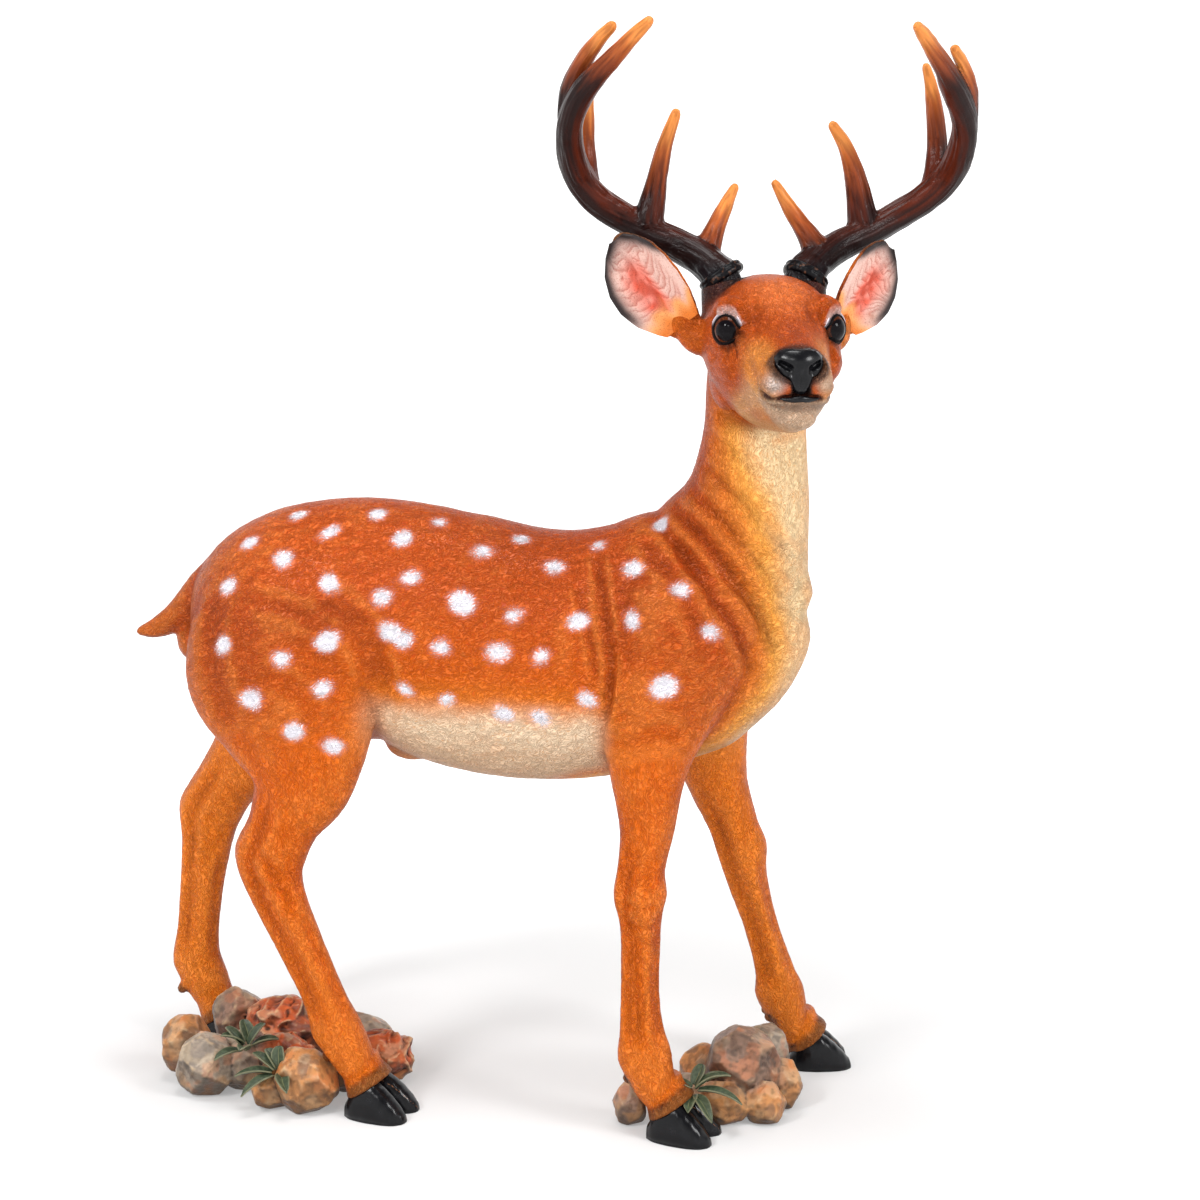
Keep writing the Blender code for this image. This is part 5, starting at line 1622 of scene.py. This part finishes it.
    def finish(self):
        made = Finish("painted antler", 0.3, Specular_IOR_Level=0.13)
        streak = made.field("streak")
        fine = made.noise(made.place, 700, 2)
        paint = made.field("paint", "Color")
        sunk, raised = made.span(streak, 0.25, 0.55, 0.5, 0.0), made.span(streak, 0.6, 0.85, 0.0, 0.4)
        colour = made.mix(sunk, paint, made.times(paint, (0.5, 0.44, 0.42)))
        colour = made.mix(raised, colour, made.times(colour, (1.5, 1.3, 1.2)))
        relief = made.bump(fine, 0.0003, 0.4, made.bump(streak, 0.0009, 0.7))
        return made.done(colour, relief)

    def collar(self, side):
        """A ring round the pedicle: radius 17.4 + 4 |cos b|^0.55, with a groove, and knobs by noise."""
        centre, way, across, deep = self.burr_axes(side)
        a = np.linspace(0, 2 * np.pi, 160, endpoint=False)[None]
        b = np.linspace(-0.5 * np.pi, 0.5 * np.pi, 26)[:, None]
        swell = np.abs(np.cos(b)) ** 0.55
        height = 4.2 + 5.2 * np.sin(b) + 0 * a
        radius = 17.4 + 4.0 * swell - 0.7 * np.exp(-(((height - 5.4) / 1.2) ** 2)) + 0 * a
        knobs = np.stack([3.1 * np.cos(a) + 0 * b, 3.1 * np.sin(a) + 0 * b, height * 0.22], axis=-1)
        knobs = knobs.reshape(-1, 3)
        radius = radius + 0.75 * lattice_noise(knobs, 51).reshape(radius.shape) * swell
        radius = radius + (0.4 * lattice_noise(knobs * (3, 3, 1), 52)).reshape(radius.shape)
        ring = across * (np.cos(a) * radius)[..., None] + deep * (np.sin(a) * radius)[..., None]
        return skin(from_head(centre + ring + way * height[..., None]))

    def collar_finish(self, settings):
        made = Finish("painted burr", 0.32, Specular_IOR_Level=0.13)
        worn = made.noise(made.place, 220, 3)
        colour = made.mix(made.span(worn, 0.55, 0.72), tuple(settings.black), tone(92, 60, 44))
        return made.done(colour, made.bump(worn, 0.0008, 0.6))


class STAG_OT_rocks(bpy.types.Operator):
    """Builds the two heaps of painted rock"""

    bl_idname = "stag.rocks"
    bl_label = "Rocks"

    def execute(self, context):
        settings = context.scene.stag_base
        finish = self.finish()
        heaps = (
            ("rear_rocks", "rear_rock_base", REAR_BOULDERS),
            ("front_rocks", "front_rock_base", FRONT_BOULDERS),
        )
        for name, node, boulders in heaps:
            piece = object_from(name, joined([self.boulder(k, row) for k, row in enumerate(boulders)]))
            melt(piece, ROCK_VOXEL[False])
            soften(piece, 6)
            self.weather(piece, boulders)
            thin_out(piece, ROCK_TRIANGLES)
            self.colour(piece, boulders, settings)
            finish_piece(piece, finish, (node,))
        return {"FINISHED"}

    def boulder(self, index, row):
        """A ball pressed back to planes spread by the golden angle, deep ones and then shallow ones."""
        rings = blob((0, 0, 0), (1, 1, 1), 48, 64)
        golden = math.pi * (3 - math.sqrt(5))
        for planes, start, turned, depth, swing, beat, shift in BOULDER_PLANES:
            for k in range(planes):
                height = 1 - 2 * (k + 0.5) / planes
                turn = golden * k + start + turned * index
                flat = math.sqrt(1 - height * height)
                way = np.array((flat * math.cos(turn), flat * math.sin(turn), height))
                reach = depth + swing * math.sin(beat * k + shift * index)
                rings = rings - way * np.maximum(0, rings @ way - reach)[..., None]
        centre, halves = np.array(row[:3], float), np.array(row[3:6], float)
        points, quads, ends = skin(centre + rings * halves * 1.02)
        points[:, 2] = np.maximum(points[:, 2], 0.3)
        return points, quads, ends

    def weather(self, obj, boulders):
        """Ridged noise, 1 − |n|, in three sizes, stronger on the red rock, moved along the normals."""
        points, normals = read(obj.data, "co"), read(obj.data, "normal")
        bent = points + 5 * np.stack([lattice_noise(points / 15, k) for k in (61, 62, 63)], axis=1)
        ridge = 1 - np.abs(lattice_noise(bent / 17, 64))
        small = 1 - np.abs(lattice_noise(bent / 7, 65))
        rough = self.tones(points, boulders)["clay"]
        push = (ridge - 0.75) * (1.2 + 6.0 * rough) + (small - 0.7) * (0.5 + 2.0 * rough)
        push += 0.3 * lattice_noise(points / 3.5, 66)
        grounded = ease(points[:, 2], 0.5, 6)
        moved = points + normals * (push * grounded)[:, None]
        moved[:, 2] = np.maximum(moved[:, 2], 0.2)
        write_points(obj.data, moved)

    def tones(self, points, boulders):
        """How much each tone of stone shows at a point, by how near its boulders are."""
        shares = {"grey": 0.0, "brown": 0.0, "purple": 0.0, "clay": 0.0}
        moved = points + 7 * np.stack([lattice_noise(points / 22, k) for k in (67, 68, 69)], axis=1)
        for row in boulders:
            spread = (moved - np.array(row[:3])) / np.array(row[3:6])
            shares[row[6]] = shares[row[6]] + np.exp(-3.2 * (spread**2).sum(axis=1))
        total = sum(shares.values()) + 1e-9
        return {key: value / total + np.zeros(len(points)) for key, value in shares.items()}

    def colour(self, obj, boulders, settings):
        """The stones' tones, blotched by noise, with painted shade in the hollows and below, and painted
        highlight on the edges.
        """
        points, normals = read(obj.data, "co"), read(obj.data, "normal")
        paint = Paint(len(points), (0.0, 0.0, 0.0))
        for key, share in self.tones(points, boulders).items():
            paint.colour += np.array(getattr(settings, key)) * share[:, None]
        slow = lattice_noise(points / 17, 71)
        quick = lattice_noise(points / 7, 72)
        fine = lattice_noise(points / 3.2, 73)
        other = lattice_noise(points / 11, 74)
        paint.lay(tone(216, 124, 70), 0.36 * ease(slow + 0.5 * quick + 0.2 * fine, 0.2, 0.5))
        paint.lay(tone(84, 74, 68), 0.6 * ease(0.5 * quick - slow + 0.2 * fine, 0.2, 0.55))
        # pale patches from noise, more on faces that turn up: partly the stone's colour, partly painted
        # light from above
        paint.lay(tone(204, 182, 148), 0.32 * ease(other + 0.5 * quick + 0.4 * normals[:, 2], 0.35, 0.75))
        paint.lay(tone(206, 150, 92), 0.5 * ease(points[:, 2], 40, 8) * ease(quick + other, -0.2, 0.4))
        crack = ease(np.abs(lattice_noise(points / 23 + 0.2 * fine[:, None], 75)), 0.05, 0.015)
        paint.lay(tone(66, 50, 44), 0.3 * crack)
        paint.lay(tone(74, 58, 44), 0.4 * ease(fine + quick, -0.1, -0.9))
        # painted shade in the crevices and painted highlight on the edges that stand out
        sunk = hollows(obj, 26)
        paint.lay(tone(34, 22, 18), 0.92 * ease(sunk, 0.05, 0.9))
        paint.lay(tone(236, 204, 160), 0.55 * ease(sunk + 0.15 * fine, -0.3, -1.0))
        # painted shade on the undersides and near the ground
        paint.lay(tone(34, 26, 24), 0.75 * ease(normals[:, 2] - 0.012 * points[:, 2], 0.1, -0.8))
        paint.lay(tone(64, 52, 44), 0.5 * ease(points[:, 2] + 6 * quick, 20, 3))
        write_field(obj.data, "paint", paint.colour)

    def finish(self):
        made = Finish("painted rock", 0.36, Specular_IOR_Level=0.24)
        grain = made.noise(made.warped(made.place, 60, 0.01), 260, 4, 0.6)
        streak = made.noise(made.warped(made.place, 40, 0.03), 90, 3, 0.6)
        paint = made.field("paint", "Color")
        veins, flecks = made.span(streak, 0.35, 0.65, 0.32, 0.0), made.span(grain, 0.55, 0.75, 0.0, 0.35)
        colour = made.mix(veins, paint, made.times(paint, (0.6, 0.56, 0.58)))
        colour = made.mix(flecks, colour, made.times(colour, (1.5, 1.4, 1.25)))
        relief = made.bump(grain, 0.0012, 0.55, made.bump(streak, 0.002, 0.5))
        return made.done(colour, relief)


class STAG_OT_leaves(bpy.types.Operator):
    """Builds the tufts of keeled leaves on the rocks"""

    bl_idname = "stag.leaves"
    bl_label = "Leaves"

    def execute(self, context):
        settings = context.scene.stag_base
        finish = self.finish(settings)
        for name, rows in (("rear_leaves", REAR_LEAVES), ("front_leaves", FRONT_LEAVES)):
            blades = [self.leaf(k, *row, settings.leaf_width / MM) for k, row in enumerate(rows)]
            piece = object_from(name, joined([sheet(points) for points, _ in blades]))
            write_field(piece.data, "across", np.concatenate([across.ravel() for _, across in blades]))
            thicken(piece, 1.6, 0)
            round_off = piece.modifiers.new("Round edges", "SUBSURF")
            round_off.levels = round_off.render_levels = 1
            settle(piece)
            finish_piece(piece, finish)
        return {"FINISHED"}

    def leaf(self, index, x, y, z, bearing, lift, length, width):
        """A blade: its line rises along `lift` and droops by 0.34 s², its half width goes as sin(π s)^0.85,
        and its two halves fold up from the midrib by half of the way across."""
        s, w = np.meshgrid(np.linspace(0, 1, 22), np.linspace(-1, 1, 11), indexing="ij")
        turn, rise = math.radians(bearing), math.radians(lift)
        ahead = np.array((math.cos(turn), math.sin(turn), 0))
        side = np.cross(UP, ahead)
        half = width / 2 * (0.18 + 0.82 * np.sin(np.pi * np.clip(s * 0.94 + 0.06, 0, 1) ** 0.85) ** 0.85)
        half = half * ease(s, 1.02, 0.86) + 0.25
        line = s * length
        droop = 0.34 * length * s**2
        curl = 0.1 * length * np.sin(2.2 * s + index) * s
        centre = (
            np.array((x, y, z), float)
            + ahead * (line * math.cos(rise))[..., None]
            + UP * (line * math.sin(rise) - droop)[..., None]
            + side * curl[..., None]
        )
        fold = 0.5 * np.abs(w) * half - 0.12 * half * (np.abs(w) < 0.08)
        crown = unit(UP * math.cos(rise) - ahead * math.sin(rise) * (1 - s[..., None]) + 1e-6)
        points = centre + side * (w * half)[..., None] + crown * fold[..., None]
        return points, np.abs(w)

    def finish(self, settings):
        leaf = tuple(settings.leaf)
        made = Finish("painted leaf", 0.45, Specular_IOR_Level=0.4)
        across = made.field("across")
        grain = made.noise(made.place, 300, 3)
        colour = made.mix(made.span(grain, 0.35, 0.7), tuple(0.55 * c for c in leaf), leaf)
        colour = made.mix(made.span(across, 0.72, 1.0, 0.0, 0.5), colour, tone(140, 136, 104))
        colour = made.mix(made.span(across, 0.14, 0.0, 0.0, 0.5), colour, tone(150, 150, 104))
        return made.done(colour, made.bump(grain, 0.0006, 0.5))


# Lamps: name, place, watts, width and height, all aimed at the middle of the statue
LAMPS = (
    ("key", (-1.4, -2.1, 2.5), 46, 0.6, 0.6),
    ("top", (0.1, -0.3, 2.8), 35, 0.9, 0.9),
    ("right box", (2.2, -0.9, 1.9), 32, 0.7, 0.7),
    ("front glint", (-0.2, -2.6, 2.3), 10, 0.6, 0.4),
    ("rim", (0.8, 2.4, 2.1), 8, 1.2, 1.0),
)
LAMP_AIM = Vector((0.05, 0, 0.5))
CAMERA_PLACE = (0.4679991, -2.0395765, 0.88)
CAMERA_AIM = Vector((0.0673002, 0.0218406, 0.5))
FOCAL_LENGTH, SENSOR_WIDTH = 67.74, 36
# The floor: half its size, how far out its bowl starts, and how high it rises
FLOOR_REACH, BOWL_START, BOWL_RISE = 9, 4.5, 7


class STAG_OT_stage(bpy.types.Operator):
    """Sets out the pale floor, which glows as painted light, the soft lights and the camera"""

    bl_idname = "stag.stage"
    bl_label = "Stage"

    def execute(self, context):
        scene = context.scene
        # a shallow bowl, so that the paper fills the picture from every side
        spread = np.linspace(-FLOOR_REACH, FLOOR_REACH, 46)
        across, back = np.meshgrid(spread, spread, indexing="ij")
        rise = BOWL_RISE * ease(np.hypot(across, back), BOWL_START, FLOOR_REACH)
        floor = object_from("studio_floor", sheet(np.stack([across, back, rise], axis=-1)))
        if floor.data.polygons[0].normal.z < 0:
            floor.data.flip_normals()
        paint = Finish("glowing studio paper", 0.9, Specular_IOR_Level=0.0, Emission_Color=(1, 1, 1, 1))
        # painted light: the floor glows, weakly near the statue, more further out, and little high on the
        # bowl
        apart = paint.node("VectorMath", {0: paint.place}, operation="LENGTH").outputs["Value"]
        height = paint.node("SeparateXYZ", {0: paint.place}).outputs["Z"]
        near, low = paint.span(apart, 0.3, 1.3, 0.28, 0.86), paint.span(height, 2.8, 4.2, 1.0, 0.15)
        glow = paint.calc("MULTIPLY", near, low)
        paint.feed(paint.shader.inputs["Emission Strength"], glow)
        soft = paint.noise(paint.place, 1.5, 1)
        white = paint.mix(paint.span(soft, 0.2, 0.8), (0.56, 0.56, 0.56), (0.6, 0.6, 0.6))
        floor.data.materials.append(paint.done(white))
        floor.data.shade_smooth()

        world = bpy.data.worlds.new("studio")
        world.use_nodes = True
        sky = world.node_tree.nodes["Background"].inputs
        sky["Color"].default_value = (1, 1, 1, 1)
        sky["Strength"].default_value = 0.2
        scene.world = world
        for name, place, power, width, height in LAMPS:
            lamp = bpy.data.lights.new(name, "AREA")
            lamp.energy = power
            lamp.shape = "RECTANGLE"
            lamp.size, lamp.size_y = width, height
            obj = bpy.data.objects.new(name, lamp)
            obj.location = place
            obj.rotation_euler = (LAMP_AIM - Vector(place)).to_track_quat("-Z", "Y").to_euler()
            scene.collection.objects.link(obj)
        camera = bpy.data.cameras.new("camera")
        camera.lens = FOCAL_LENGTH
        camera.sensor_width = SENSOR_WIDTH
        camera.clip_end = 50
        shot = bpy.data.objects.new("camera", camera)
        shot.location = CAMERA_PLACE
        shot.rotation_euler = (CAMERA_AIM - shot.location).to_track_quat("-Z", "Y").to_euler()
        scene.collection.objects.link(shot)
        scene.camera = shot
        scene.view_settings.view_transform = "Standard"
        return {"FINISHED"}


class STAG_PT_panel(bpy.types.Panel):
    """Lists the sizes, the colours and the pieces"""

    bl_idname = "STAG_PT_panel"
    bl_label = "Spotted stag"
    bl_space_type = "VIEW_3D"
    bl_region_type = "UI"
    bl_category = "Stag"

    def draw(self, context):
        for group in (context.scene.stag_coat, context.scene.stag_horn, context.scene.stag_base):
            box = self.layout.box()
            for key in group.__annotations__:
                box.prop(group, key)
        for operator in OPERATORS:
            self.layout.operator(operator.bl_idname)


SETTINGS = (
    ("stag_coat", StagCoatSettings),
    ("stag_horn", StagHornSettings),
    ("stag_base", StagBaseSettings),
)
OPERATORS = (
    STAG_OT_coat,
    STAG_OT_hooves,
    STAG_OT_face,
    STAG_OT_eyes,
    STAG_OT_ears,
    STAG_OT_antlers,
    STAG_OT_rocks,
    STAG_OT_leaves,
    STAG_OT_stage,
)


def register():
    for name, group in SETTINGS:
        bpy.utils.register_class(group)
        setattr(bpy.types.Scene, name, PointerProperty(type=group))
    for operator in OPERATORS:
        bpy.utils.register_class(operator)
    bpy.utils.register_class(STAG_PT_panel)


def unregister():
    bpy.utils.unregister_class(STAG_PT_panel)
    for operator in reversed(OPERATORS):
        bpy.utils.unregister_class(operator)
    for name, group in reversed(SETTINGS):
        delattr(bpy.types.Scene, name)
        bpy.utils.unregister_class(group)


def main():
    register()
    bpy.ops.stag.coat()
    bpy.ops.stag.hooves()
    bpy.ops.stag.face()
    bpy.ops.stag.eyes()
    bpy.ops.stag.ears()
    bpy.ops.stag.antlers()
    bpy.ops.stag.rocks()
    bpy.ops.stag.leaves()
    bpy.ops.stag.stage()


if __name__ == "__main__":
    main()
